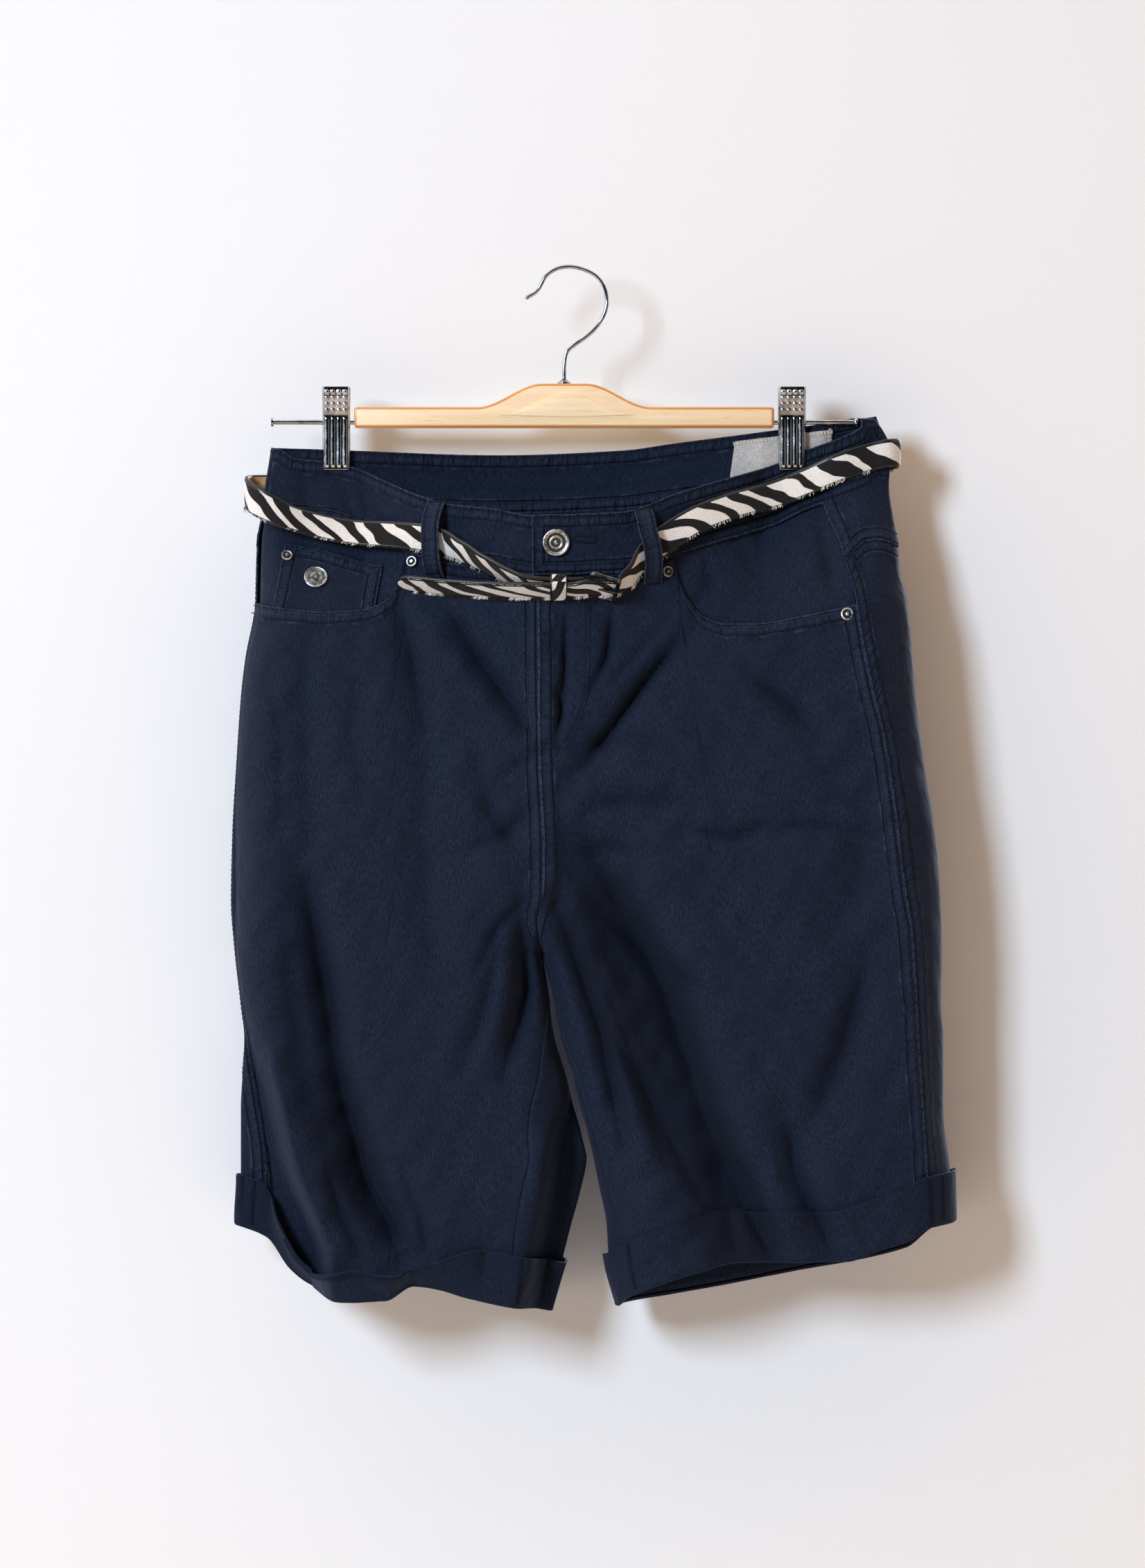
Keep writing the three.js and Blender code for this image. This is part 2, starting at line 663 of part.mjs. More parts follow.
function yoke(side) {
  return wall(`yoke_${side}`, twill, {
    columns: (share, z) => backColumn(side, share, z),
    top: bandBottom, bottom: yokeBottom, across: BACK_COLUMNS, rows: steps(3),
  });
}

// The waistband: a right front with the underlap, a left front that buttons over it, and a back
const TAB_X = -22.8;
const UNDERLAP_COLUMNS = [8, -2, -11];
const TAB_LIFT = BAND_WALL + SEAM + 0.1;
const TAB_SETTLES = { from: 12, to: 34 };

// A column of the band stands on the column of the panel or yoke below it
function bandColumn(side, panelTurn, share) {
  const seam = settle((z) => placeAtTurn(side, panelTurn(side, share, z), z), bandBottom, -170);
  const turn = panelTurn(side, share, seam);
  return (z) => placeAtTurn(side, turn, z);
}

function band(name, columns, lift) {
  const rows = steps(3);
  const places = columns.map((column) => {
    const zBottom = settle(column, bandBottom, -170);
    return rows.map((t) => column(zBottom + BAND_HEIGHT * (1 - t)));
  });
  const grid = (thick) => places.map((line) => line.map((p) => surfacePoint(p, lift(p) - thick)));
  return slab(trimmed(grid(0), SEAM / 2), trimmed(grid(BAND_WALL), SEAM / 2), twill, name);
}

function bandFront(side) {
  const early = side === 'right' ? UNDERLAP_COLUMNS : [TAB_X];
  const columns = early.map((x) => (z) => ({ side, back: false, x, z }));
  for (const share of FRONT_COLUMNS) columns.push(bandColumn(side, frontTurn, share));
  if (side === 'left') {
    const wrapped = BACK_COLUMNS.filter((share) => share > 0 && share <= WRAP + 1e-9);
    for (const share of wrapped) columns.push(bandColumn(side, backTurn, share));
  }
  const tabLift = (p) => TAB_LIFT * (1 - smooth(TAB_SETTLES.from, TAB_SETTLES.to, p.x));
  return band(`waistband_${side}`, columns, side === 'left' ? tabLift : () => 0);
}

function bandBack() {
  const right = BACK_COLUMNS.map((share) => bandColumn('right', backTurn, share));
  const left = BACK_COLUMNS.filter((share) => share > WRAP - 1e-9 && share < 1)
    .map((share) => bandColumn('left', backTurn, share));
  return band('waistband_back', [...right, ...left.toReversed()], () => 0);
}

// The facing that shows inside each scoop lies behind the front panel
const FACING_LIFT = -(CLOTH + 1.4);
const FACING_THICK = 1;
const FACING_START = { right: -92, left: 53 };
const FACING_BELOW_SCOOP = 13;

function facing(side) {
  const columns = (share, z) => {
    const from = turnAtX(side, FACING_START[side], z);
    return placeAtTurn(side, lerp(from, sideTurn(side, z), share), z);
  };
  const bottom = (p) => scoop[side](p.x) - FACING_BELOW_SCOOP;
  return wall(`pocket_facing_${side}`, twill, {
    columns, top: bandBottom, bottom, across: steps(14), rows: steps(5), lift: FACING_LIFT,
    thick: FACING_THICK,
  });
}

// The coin pocket on the right facing: its two sides lean, and the scoop's seam cuts its foot
const COIN = {
  topZ: -172,
  outer: { x: -176.7, lean: 0.2 },
  inner: { x: -114.3, lean: 0.16 },
  lift: FACING_LIFT + 1.4,
  thick: 0.8,
  aboveScoop: 0.8,
};

function coinPocket() {
  const columns = (share, z) => {
    const drop = COIN.topZ - z;
    const x = lerp(COIN.outer.x - drop * COIN.outer.lean, COIN.inner.x - drop * COIN.inner.lean, share);
    return { side: 'right', back: false, x, z };
  };
  return wall('coin_pocket', twill, {
    columns,
    top: (p) => coinTop(p.x),
    bottom: (p) => scoop.right(p.x) + COIN.aboveScoop,
    across: steps(7),
    rows: steps(4),
    lift: COIN.lift,
    thick: COIN.thick,
  });
}

// Patch pockets on the seat, on the back panels' own columns: straight top and pointed bottom
const BACK_POCKET = {
  columns: { right: [1, 7], left: [5, 9] },
  topZ: -207.7,
  topFall: 12,
  bottomZ: -330,
  point: 14,
  lift: 1.7,
  thick: 1,
};

function backPocket(side) {
  const [first, last] = BACK_POCKET.columns[side];
  const across = BACK_COLUMNS.slice(first, last + 1);
  const middle = (across[0] + across.at(-1)) / 2;
  const half = (across.at(-1) - across[0]) / 2;
  const columns = (share, z) => ({ ...backColumn(side, share, z), share });
  const top = (p) => BACK_POCKET.topZ - BACK_POCKET.topFall * ((p.share - across[0]) / (2 * half));
  const bottom = (p) => BACK_POCKET.bottomZ - BACK_POCKET.point * (1 - Math.abs(p.share - middle) / half);
  return wall(`back_pocket_${side}`, twill, {
    columns, top, bottom, across, rows: steps(6), lift: BACK_POCKET.lift, thick: BACK_POCKET.thick,
  });
}

// Turned-up cuffs: a ring outside each leg, whose free edge flops forward on the right front
const CUFF_LIFT = 0.9;
const CUFF_LEAST = 7;

function cuff(side) {
  const columns = [
    ...FRONT_COLUMNS.slice(0, -1).map((share) => (z) => frontColumn(side, share, z)),
    ...BACK_COLUMNS.slice(0, -1).map((share) => (z) => backColumn(side, share, z)),
  ];
  const height = (p) => {
    if (side === 'left' || p.back) return CUFF_HEIGHT;
    return clamp(rightCuffTop(p.x) - legBottom(p), CUFF_LEAST, CUFF_HEIGHT);
  };
  const grids = [CUFF_LIFT + CUFF_WALL, CUFF_LIFT].map((lift) => columns.map((column) => {
    const zBottom = settle(column, legBottom, -620);
    const high = height(column(zBottom));
    const flop = Math.sqrt(CUFF_HEIGHT ** 2 - high ** 2) * FLOP_SHARE;
    return steps(3).map((t) => {
      const point = surfacePoint(column(zBottom + high * (1 - t) - t), lift);
      point.y -= flop * (1 - t);
      return point;
    });
  }));
  return slab(grids[0], grids[1], twill, `cuff_${side}`, true);
}

// Turned pieces that sit on the cloth: a profile of radius and height, spun about the normal
function studded(name, material, place, lift, profile, segments = 20) {
  const geometry = new THREE.LatheGeometry(profile.map(([r, h]) => new THREE.Vector2(r, h)), segments);
  const turn = new THREE.Quaternion().setFromUnitVectors(vec(0, 1, 0), surfaceNormal(place));
  geometry.applyQuaternion(turn);
  const seat = surfacePoint(place, lift);
  geometry.translate(seat.x, seat.y, seat.z);
  return named(geometry, material, name);
}

const RIVETS = [
  { name: 'rivet_coin', side: 'right', x: -175.4, z: -179.3, lift: FACING_LIFT + 2, radius: RIVET_RADIUS },
  { name: 'rivet_right', side: 'right', x: -97.6, z: -183.6, lift: 1.1, radius: RIVET_RADIUS },
  { name: 'rivet_left_inner', side: 'left', x: 60.5, z: -190, lift: 0.9, radius: RIVET_RADIUS },
  { name: 'rivet_left_outer', side: 'left', x: 171.5, z: -216.5, lift: 0.3, radius: 4 },
];

function rivet({ name, side, x, z, lift, radius }) {
  const profile = [[0, 0], [radius * 0.9, 0], [radius, 0.4], [radius * 0.85, 0.9], [radius * 0.5, 0.7],
    [radius * 0.42, 1.2], [0, 1.5]];
  return studded(name, nickel, { side, back: false, x, z }, lift, profile, 16);
}

function waistButton() {
  const r = BUTTON_RADIUS;
  const profile = [[0, 0], [3, 0], [3, 1], [r * 0.94, 1], [r, 1.5], [r * 0.96, 2.4], [r * 0.86, 2.9],
    [r * 0.5, 2.5], [r * 0.42, 2.9], [r * 0.3, 2.5], [0, 2.8]];
  const place = { side: 'left', back: false, x: -8.2, z: -172.4 };
  return studded('waist_button', nickel, place, TAB_LIFT + SEAM, profile, 28);
}

function badge() {
  const r = BADGE_RADIUS;
  const profile = [[0, 0], [r * 0.96, 0], [r, 0.4], [r * 0.93, 0.9], [0, 0.9]];
  const place = { side: 'right', back: false, x: -157.4, z: -193.1 };
  return studded('pocket_badge', nickel, place, COIN.lift + 0.7, profile, 24);
}

// The woven label inside the back of the band, bare, with its outer end leaning
const LABEL = { inner: 104, outer: 163, lean: 0.14, below: 3.6, height: 23, behind: 0.9, thick: 0.5 };

function innerLabel() {
  const place = (share, t) => {
    const z = backTop(lerp(LABEL.inner, LABEL.outer, share)) - LABEL.below - LABEL.height * t;
    const inner = LABEL.inner + (z - backTop(LABEL.inner)) * LABEL.lean;
    return { side: 'left', back: true, x: lerp(inner, LABEL.outer, share), z };
  };
  const grid = (lift) => steps(6).map((s) => steps(2).map((t) => surfacePoint(place(s, t), lift)));
  const front = -(BAND_WALL + LABEL.behind);
  return slab(grid(front), grid(front - LABEL.thick), tape, 'inner_label');
}

// Belt loops: strips sewn at both ends that stand off over the belt
const LOOPS = [
  { name: 'right_front', x0: -82, z0: -146.4, x1: -82.6, z1: -194, bulge: 10.6, stand: 0.5 },
  { name: 'left_front', x0: 44.3, z0: -151.5, x1: 51, z1: -197, bulge: 10.6, stand: 0.5 },
  { name: 'left_back', x0: 185, z0: -93.4, x1: 192.6, z1: -139.4, bulge: 8.8, stand: 1.7 },
  { name: 'right_back', x0: -104, z0: -115, x1: -105, z1: -162, bulge: 5, stand: 0.4 },
  { name: 'centre_back', x0: -20, z0: -116.5, x1: -20, z1: -164, bulge: 5, stand: 0.4 },
];

function beltLoop({ name, x0, z0, x1, z1, bulge, stand }) {
  const rows = steps(12);
  const run = rows.map((t) => {
    const side = x0 > 0 ? 'left' : 'right';
    const place = { side, back: name.endsWith('back'), x: lerp(x0, x1, t), z: lerp(z0, z1, t) };
    const lifted = bulge * Math.sin(Math.PI * clamp((t - SEWN) / (1 - 2 * SEWN), 0, 1)) ** 0.6;
    return { point: surfacePoint(place, stand + lifted), normal: surfaceNormal(place) };
  });
  const down = vec(x1 - x0, 0, z1 - z0).normalize();
  const grid = (thick) => [-0.5, 0.5].map((half) => run.map(({ point, normal }) => {
    const sideways = normal.clone().cross(down).normalize();
    return point.clone().addScaledVector(sideways, half * LOOP_WIDTH).addScaledVector(normal, thick);
  }));
  return slab(grid(LOOP_WALL), grid(0), twill, `loop_${name}`);
}

// The belt's route: places on the garment that it stands off, or free points where it bulges.
// roll leans the strap's top edge forward, in degrees; the loose runs hang nearly flat.
const BELT_ROUTE = [
  { x: 8.6, z: -198.9, stand: 10.9, roll: 63 },
  { x: -9.5, z: -198.9, stand: 11, roll: 64 },
  { x: -27, z: -197, stand: 11.1, roll: 64 },
  { x: -38.7, z: -192.5, stand: 10.5, roll: 60 },
  { x: -53.3, z: -185, stand: 9.4, roll: 54 },
  { x: -66.7, z: -177.5, stand: 7.8, roll: 40 },
  { x: -78, z: -172.2, stand: 5.6, roll: 20 },
  { x: -89.4, z: -169, stand: 4.6, roll: 2 },
  { x: -109, z: -166.8, stand: 5.4, roll: -16 },
  { x: -137, z: -164.7, stand: 5.6, roll: -24 },
  { x: -162, z: -159.5, stand: 6.4, roll: -24 },
  { x: -180, z: -153.4, stand: 9, roll: -16 },
];
const BELT_BULGE = [
  { x: -194, y: -17, z: -146, roll: -8 },
  { x: -200, y: -9, z: -141, roll: 0 },
  { x: -201, y: 0, z: -138, roll: 0 },
  { x: -197, y: 9, z: -137, roll: 0 },
];
const BELT_BACK = [
  { x: -172, z: -137, stand: 3.4 },
  { x: -145, z: -137, stand: 2.4 },
  { x: -80, z: -137.5, stand: 2.3 },
  { x: -20, z: -138.5, stand: 2.3 },
  { x: 60, z: -137.5, stand: 2.3 },
  { x: 110, z: -137, stand: 2.3 },
  { x: 145, z: -135, stand: 2.6 },
  { x: 172, z: -127, stand: 3 },
  { x: 188, z: -120, stand: 3.4 },
];
const BELT_LEFT = [
  { x: 200, y: 6.4, z: -116.5, roll: 0 },
  { x: 204.4, y: 2, z: -115.4, roll: 0 },
  { x: 204.4, y: -3, z: -115, roll: 0 },
  { x: 199.5, y: -8.4, z: -115.3, roll: 0 },
];
const BELT_RETURN = [
  { x: 188, z: -117.6, stand: 3.8, roll: 0 },
  { x: 165, z: -125.5, stand: 5, roll: -4 },
  { x: 148, z: -132.9, stand: 5.6, roll: -10 },
  { x: 127.7, z: -141, stand: 5.9, roll: -16 },
  { x: 102, z: -148.4, stand: 6, roll: -20 },
  { x: 78, z: -158, stand: 5.6, roll: -18 },
  { x: 60, z: -169.5, stand: 5.4, roll: -4 },
  { x: 47, z: -180, stand: 6, roll: 22 },
  { x: 37, z: -193, stand: 8.8, roll: 44 },
  { x: 29.3, z: -200.3, stand: 9.8, roll: 60 },
  { x: 20, z: -200.2, stand: 12.9, roll: 62 },
  { x: 11.5, z: -200.3, stand: 14.6, roll: 63 },
  { x: 4, z: -201.6, stand: 13.5, roll: 64 },
  { x: -10, z: -202, stand: 12.6, roll: 64 },
  { x: -43.4, z: -201.7, stand: 11.6, roll: 62 },
  { x: -76.5, z: -199.6, stand: 10, roll: 62 },
  { x: -97, z: -197.4, stand: 9.6, roll: 62 },
];

const BELT_STEPS = 118;
const BELT_TIP = { length: 9, narrowsAt: 6, shoulder: 0.36, end: 0.12 };

function beltStations() {
  const sideOf = (x) => (x < CENTRE_X ? 'right' : 'left');
  const inFront = ({ x, z, stand }) => vec(x, -frontDepth(sideOf(x), x, z) - stand, z);
  const behind = ({ x, z, stand }) => vec(x, backDepth(sideOf(x), x, z) + stand, z);
  const onFront = (row) => ({ point: inFront(row), roll: row.roll });
  const onBack = (row) => ({ point: behind(row), roll: 0 });
  const free = ({ x, y, z, roll }) => ({ point: vec(x, y, z), roll });
  return [
    ...BELT_ROUTE.map(onFront), ...BELT_BULGE.map(free), ...BELT_BACK.map(onBack),
    ...BELT_LEFT.map(free), ...BELT_RETURN.map(onFront),
  ];
}

// Point, tangent, across and outward directions of the belt at each step of its route
function beltFrames(count) {
  const stations = beltStations();
  const line = new THREE.CatmullRomCurve3(stations.map((s) => s.point), false, 'centripetal');
  const last = stations.length - 1;
  return steps(count).map((share) => {
    const at = share * last;
    const i = Math.min(last - 1, Math.floor(at));
    const ease = smooth(0, 1, at - i);
    const tangent = line.getTangent(share).normalize();
    const level = vec(0, 0, 1).addScaledVector(tangent, -tangent.z).normalize();
    const away = level.clone().cross(tangent).normalize();
    const roll = THREE.MathUtils.degToRad(lerp(stations[i].roll, stations[i + 1].roll, ease));
    const width = level.clone().multiplyScalar(Math.cos(roll)).addScaledVector(away, Math.sin(roll));
    const out = width.clone().cross(tangent).normalize();
    return { point: line.getPoint(share), tangent, width, out };
  });
}

function beltStrap() {
  const frames = beltFrames(BELT_STEPS);
  const tip = frames.at(-1);
  const beyond = (length) => tip.point.clone().addScaledVector(tip.tangent, length);
  const section = ({ point: centre, width, out }, half) => [
    [-half, 0.5], [half, 0.5], [half, -0.5], [-half, -0.5],
  ].map(([w, n]) => centre.clone().addScaledVector(width, w).addScaledVector(out, n * BELT_THICK));
  const rings = frames.map((frame) => section(frame, BELT_WIDTH / 2));
  rings.push(section({ ...tip, point: beyond(BELT_TIP.narrowsAt) }, BELT_WIDTH * BELT_TIP.shoulder));
  rings.push(section({ ...tip, point: beyond(BELT_TIP.length) }, BELT_WIDTH * BELT_TIP.end));
  return tube(rings, hide, 'belt_strap');
}

// Closed solid through rings of points with flat ends
function tube(rings, material, name) {
  const size = rings[0].length;
  const points = rings.flat();
  const faces = [];
  const at = (i, k) => i * size + (k % size);
  for (let i = 0; i < rings.length - 1; i += 1) {
    for (let k = 0; k < size; k += 1) {
      faces.push(at(i, k), at(i, k + 1), at(i + 1, k + 1), at(i, k), at(i + 1, k + 1), at(i + 1, k));
    }
  }
  const last = rings.length - 1;
  for (let k = 1; k < size - 1; k += 1) {
    faces.push(at(0, 0), at(0, k + 1), at(0, k));
    faces.push(at(last, 0), at(last, k), at(last, k + 1));
  }
  return solid(points, faces, material, name);
}

// A rectangular ring extruded along one axis of a frame
function ringAround(name, material, frame, size) {
  const { wide, deep, wallThick, length } = size;
  const shape = new THREE.Shape();
  const rectangle = (path, d, w) => {
    path.moveTo(-d, -w);
    path.lineTo(d, -w);
    path.lineTo(d, w);
    path.lineTo(-d, w);
    path.closePath();
    return path;
  };
  rectangle(shape, deep / 2 + wallThick, wide / 2 + wallThick);
  shape.holes.push(rectangle(new THREE.Path(), deep / 2, wide / 2));
  const geometry = new THREE.ExtrudeGeometry(shape, { depth: length, bevelEnabled: false, steps: 1 });
  geometry.translate(0, 0, -length / 2);
  geometry.applyMatrix4(new THREE.Matrix4().makeBasis(frame.out, frame.width, frame.tangent));
  geometry.translate(frame.point.x, frame.point.y, frame.point.z);
  return named(geometry, material, name);
}

const leaned = (point, degrees, slope) => {
  const tangent = vec(-Math.cos(slope), 0, Math.sin(slope));
  const level = vec(Math.sin(slope), 0, Math.cos(slope));
  const away = level.clone().cross(tangent).normalize();
  const roll = THREE.MathUtils.degToRad(degrees);
  const width = level.clone().multiplyScalar(Math.cos(roll)).addScaledVector(away, Math.sin(roll));
  return { point, tangent, width, out: width.clone().cross(tangent).normalize() };
};

// Places and inner sizes of the keeper and of the buckle's frame, and how they lean
const KEEPER = {
  x: -6.9, z: -200.4, stand: 11.8, lean: 64, slope: 0, wide: 18.4, deep: 7, wall: 1.2, long: 10.4,
};
const BUCKLE = {
  x: 20.4, z: -200.2, stand: 13.1, lean: 62, slope: 0.3, wide: 21.8, deep: 15, wall: 2.4, long: 2.4,
};

function fastening(name, material, row, across) {
  const centre = vec(row.x, -frontDepth('left', row.x, row.z) - row.stand, row.z);
  const frame = across(leaned(centre, row.lean, row.slope));
  return ringAround(name, material, frame, {
    wide: row.wide, deep: row.deep, wallThick: row.wall, length: row.long,
  });
}

const beltKeeper = () => fastening('belt_keeper', hide, KEEPER, (frame) => frame);

const buckle = () => fastening('belt_buckle', gunmetal, BUCKLE, ({ point, width, out, tangent }) => (
  { point, width, out: tangent, tangent: out.clone().negate() }
));

// The hanger: wooden bar with a raised middle, pale inlay, hook, rods and two clips
const BAR_TOP = -86.6;
const BAR_BOTTOM = -99.4;
const BAR_DEEP = 13;
const BAR_CHAMFER = 1.6;
const HUMP = { half: 54, flat: 14, rise: 14.6 };
const ROD_Z = -95.8;
const JAW_GAP = 3.5;

function barOutline() {
  const half = BAR_LENGTH / 2;
  const shape = new THREE.Shape();
  shape.moveTo(-half, BAR_BOTTOM);
  shape.lineTo(half, BAR_BOTTOM);
  shape.lineTo(half, BAR_TOP);
  const hump = steps(16).map((t) => lerp(HUMP.half, -HUMP.half, t));
  for (const x of hump) {
    shape.lineTo(x, BAR_TOP + HUMP.rise * smooth(HUMP.half, HUMP.flat, Math.abs(x)));
  }
  shape.lineTo(-half, BAR_TOP);
  shape.closePath();
  return shape;
}

// Extrude an upright outline front to back about the middle plane
function upright(shape, deep, bevel) {
  const geometry = new THREE.ExtrudeGeometry(shape, {
    depth: deep - 2 * bevel,
    bevelEnabled: bevel > 0,
    bevelSize: bevel,
    bevelThickness: bevel,
    bevelOffset: -bevel,
    bevelSegments: 1,
    steps: 1,
    curveSegments: 8,
  });
  geometry.translate(0, 0, -(deep - 2 * bevel) / 2);
  geometry.rotateX(Math.PI / 2);
  return geometry;
}

function hangerBar() {
  const geometry = upright(barOutline(), BAR_DEEP, BAR_CHAMFER);
  geometry.translate(HANGER_X, 0, 0);
  return named(geometry, wood, 'hanger_bar');
}

// The inlay's outline: two sharp ends and a round crown
const INLAY = {
  half: 42, endZ: -91.4, waist: 20, waistZ: -86.6, crown: 12, crownZ: -79.6, topZ: -76.4, footZ: -94,
};
const INLAY_DEEP = 1.2;
const INLAY_X = HANGER_X + 1;

function hangerInlay() {
  const { half, endZ, waist, waistZ, crown, crownZ, topZ, footZ } = INLAY;
  const shape = new THREE.Shape();
  shape.moveTo(-half, endZ);
  shape.quadraticCurveTo(-waist, waistZ, -crown, crownZ);
  shape.quadraticCurveTo(0, topZ, crown, crownZ);
  shape.quadraticCurveTo(waist, waistZ, half, endZ);
  shape.quadraticCurveTo(0, footZ, -half, endZ);
  const geometry = upright(shape, INLAY_DEEP, 0);
  geometry.translate(INLAY_X, -(BAR_DEEP / 2 + SEAM + INLAY_DEEP / 2), 0);
  return named(geometry, paleWood, 'hanger_inlay');
}

// The hook's wire, from its ball tip over the rail and down into the bar
const HOOK_LINE = [
  { x: -26.5, z: -17.9 },
  { x: -20.5, z: -14 },
  { x: -14.4, z: -4.1 },
  { x: -7.8, z: 0 },
  { x: 0, z: WIRE_RADIUS },
  { x: 8.6, z: -0.5 },
  { x: 15.9, z: -4.2 },
  { x: 20.8, z: -10 },
  { x: 22.9, z: -17 },
  { x: 22.9, z: -23.6 },
  { x: 20.6, z: -30.2 },
  { x: 16.3, z: -36.8 },
  { x: 9.7, z: -42.8 },
  { x: 3.1, z: -47.4 },
  { x: -1.5, z: -51.6 },
  { x: -3, z: -56.5 },
  { x: HANGER_X, z: -69.4 },
];

function hook() {
  const stations = HOOK_LINE.map(({ x, z }) => vec(x, 0, z));
  const line = new THREE.CatmullRomCurve3(stations, false, 'centripetal');
  const rings = steps(44).map((share) => {
    const point = line.getPoint(share);
    const tangent = line.getTangent(share).normalize();
    const across = vec(-tangent.z, 0, tangent.x);
    return steps(8).slice(0, -1).map((k) => point.clone()
      .addScaledVector(across, WIRE_RADIUS * Math.cos(TURN * k))
      .add(vec(0, WIRE_RADIUS * Math.sin(TURN * k), 0)));
  });
  return tube(rings, chrome, 'hanger_hook');
}

function lathed(name, material, profile, place, axis, segments) {
  const geometry = new THREE.LatheGeometry(profile.map(([r, h]) => new THREE.Vector2(r, h)), segments);
  geometry.applyQuaternion(new THREE.Quaternion().setFromUnitVectors(vec(0, 1, 0), axis));
  geometry.translate(place.x, place.y, place.z);
  return named(geometry, material, name);
}

function ferrule() {
  const bore = WIRE_RADIUS + SEAM;
  const top = BAR_TOP + HUMP.rise + SEAM;
  const profile = [[bore, 0], [4.2, 0], [4.2, 0.8], [3, 2.2], [bore, 2.2], [bore, 0]];
  return lathed('hook_ferrule', chrome, profile, vec(HANGER_X, 0, top), vec(0, 0, 1), 20);
}

const ROD_LENGTH = 52;
const ROD_HEAD = { radius: 2.8, long: 1.4, neck: 0.6 };

function rod(side) {
  const sign = outward(side);
  const start = HANGER_X + sign * (BAR_LENGTH / 2 + SEAM);
  const headAt = ROD_LENGTH - ROD_HEAD.long;
  const profile = [[0, 0], [ROD_RADIUS, 0], [ROD_RADIUS, headAt - ROD_HEAD.neck], [ROD_HEAD.radius, headAt],
    [ROD_HEAD.radius, ROD_LENGTH], [0, ROD_LENGTH]];
  return lathed(`clip_rod_${side}`, chrome, profile, vec(start, 0, ROD_Z), vec(sign, 0, 0), 12);
}

// One jaw: a pressed plate with side flanges, outside the cloth, that opens above the rod
const JAW = {
  top: -74, bottom: -125.6, gape: 3.4, gapeEnds: 0.45, steel: 1.2, flange: 1.4, crown: 2.2, inside: 0.86,
};

function jaw(side, facing) {
  const sign = facing === 'front' ? -1 : 1;
  const centreX = HANGER_X + outward(side) * CLIP_REACH;
  const half = CLIP_WIDTH / 2;
  const profile = [
    { x: -half, out: 0.2 }, { x: -half, out: JAW.flange }, { x: -half + 1, out: JAW.crown },
    { x: half - 1, out: JAW.crown }, { x: half, out: JAW.flange }, { x: half, out: 0.2 },
  ];
  const plate = (outside) => profile.map(({ x, out }) => steps(4).map((t) => {
    const z = lerp(JAW.top, JAW.bottom, t);
    const gap = JAW_GAP + JAW.gape * smooth(JAW.gapeEnds, 0, t);
    const depth = gap + (outside ? out : Math.max(0, out - JAW.steel));
    const width = outside ? 1 : JAW.inside;
    return vec(centreX + x * width, sign * depth, z);
  }));
  return slab(plate(true), plate(false), chrome, `clip_${side}_${facing}`);
}

// The barrel that carries both jaws on the rod
const BARREL_LENGTH = 11;

function clipBarrel(side) {
  const inner = ROD_RADIUS + SEAM;
  const outside = JAW_GAP - SEAM;
  const profile = [[inner, 0], [outside, 0], [outside, BARREL_LENGTH], [inner, BARREL_LENGTH], [inner, 0]];
  const start = vec(HANGER_X + outward(side) * CLIP_REACH - BARREL_LENGTH / 2, 0, ROD_Z);
  return lathed(`clip_barrel_${side}`, chrome, profile, start, vec(1, 0, 0), 12);
}

const group = new THREE.Group();
for (const side of ['right', 'left']) {
  group.add(front(side), back(side), yoke(side), bandFront(side), facing(side));
  group.add(backPocket(side), cuff(side));
  group.add(rod(side), jaw(side, 'front'), jaw(side, 'back'), clipBarrel(side));
}
group.add(bandBack(), coinPocket(), innerLabel(), waistButton(), badge());
for (const row of RIVETS) group.add(rivet(row));
for (const row of LOOPS) group.add(beltLoop(row));
group.add(beltStrap(), beltKeeper(), buckle());
group.add(hangerBar(), hangerInlay(), hook(), ferrule());

export default group;
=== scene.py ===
"""Bermuda shorts on a clip hanger: the finish of every surface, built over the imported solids.

Lengths in the tables are millimetres in the row's frame: +Z up, the front faces -Y, the wearer's
right side at -X, the origin inside the top of the hook. Meshes are made in metres.
"""
import math

import bmesh
import bpy
import numpy as np
from bpy.props import FloatProperty, FloatVectorProperty, IntProperty, PointerProperty
from mathutils import Matrix, Vector


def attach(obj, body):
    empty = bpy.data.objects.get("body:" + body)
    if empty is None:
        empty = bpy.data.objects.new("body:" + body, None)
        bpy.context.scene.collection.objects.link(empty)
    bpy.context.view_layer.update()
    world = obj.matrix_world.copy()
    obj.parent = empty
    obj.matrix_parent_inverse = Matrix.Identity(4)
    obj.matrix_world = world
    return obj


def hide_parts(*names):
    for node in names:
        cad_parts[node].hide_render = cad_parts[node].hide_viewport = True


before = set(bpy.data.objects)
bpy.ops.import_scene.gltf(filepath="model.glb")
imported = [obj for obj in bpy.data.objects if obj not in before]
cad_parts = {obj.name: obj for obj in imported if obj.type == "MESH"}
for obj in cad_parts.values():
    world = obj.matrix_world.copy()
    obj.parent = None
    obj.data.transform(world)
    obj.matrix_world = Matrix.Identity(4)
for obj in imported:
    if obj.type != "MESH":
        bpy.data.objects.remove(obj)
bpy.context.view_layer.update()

bl_info = {
    "name": "Bermuda Shorts",
    "version": (1, 0, 0),
    "blender": (4, 5, 0),
    "location": "View3D > Sidebar > Shorts",
    "description": "Builds twill bermuda shorts with a striped hide belt on a clip hanger",
    "category": "Object",
}

MM = 0.001
SIDES = ("right", "left")


# Tables of the garment's form

def rows(columns, *values):
    """A short table with named columns."""
    return {name: np.array([row[i] for row in values], float) for i, name in enumerate(columns.split())}


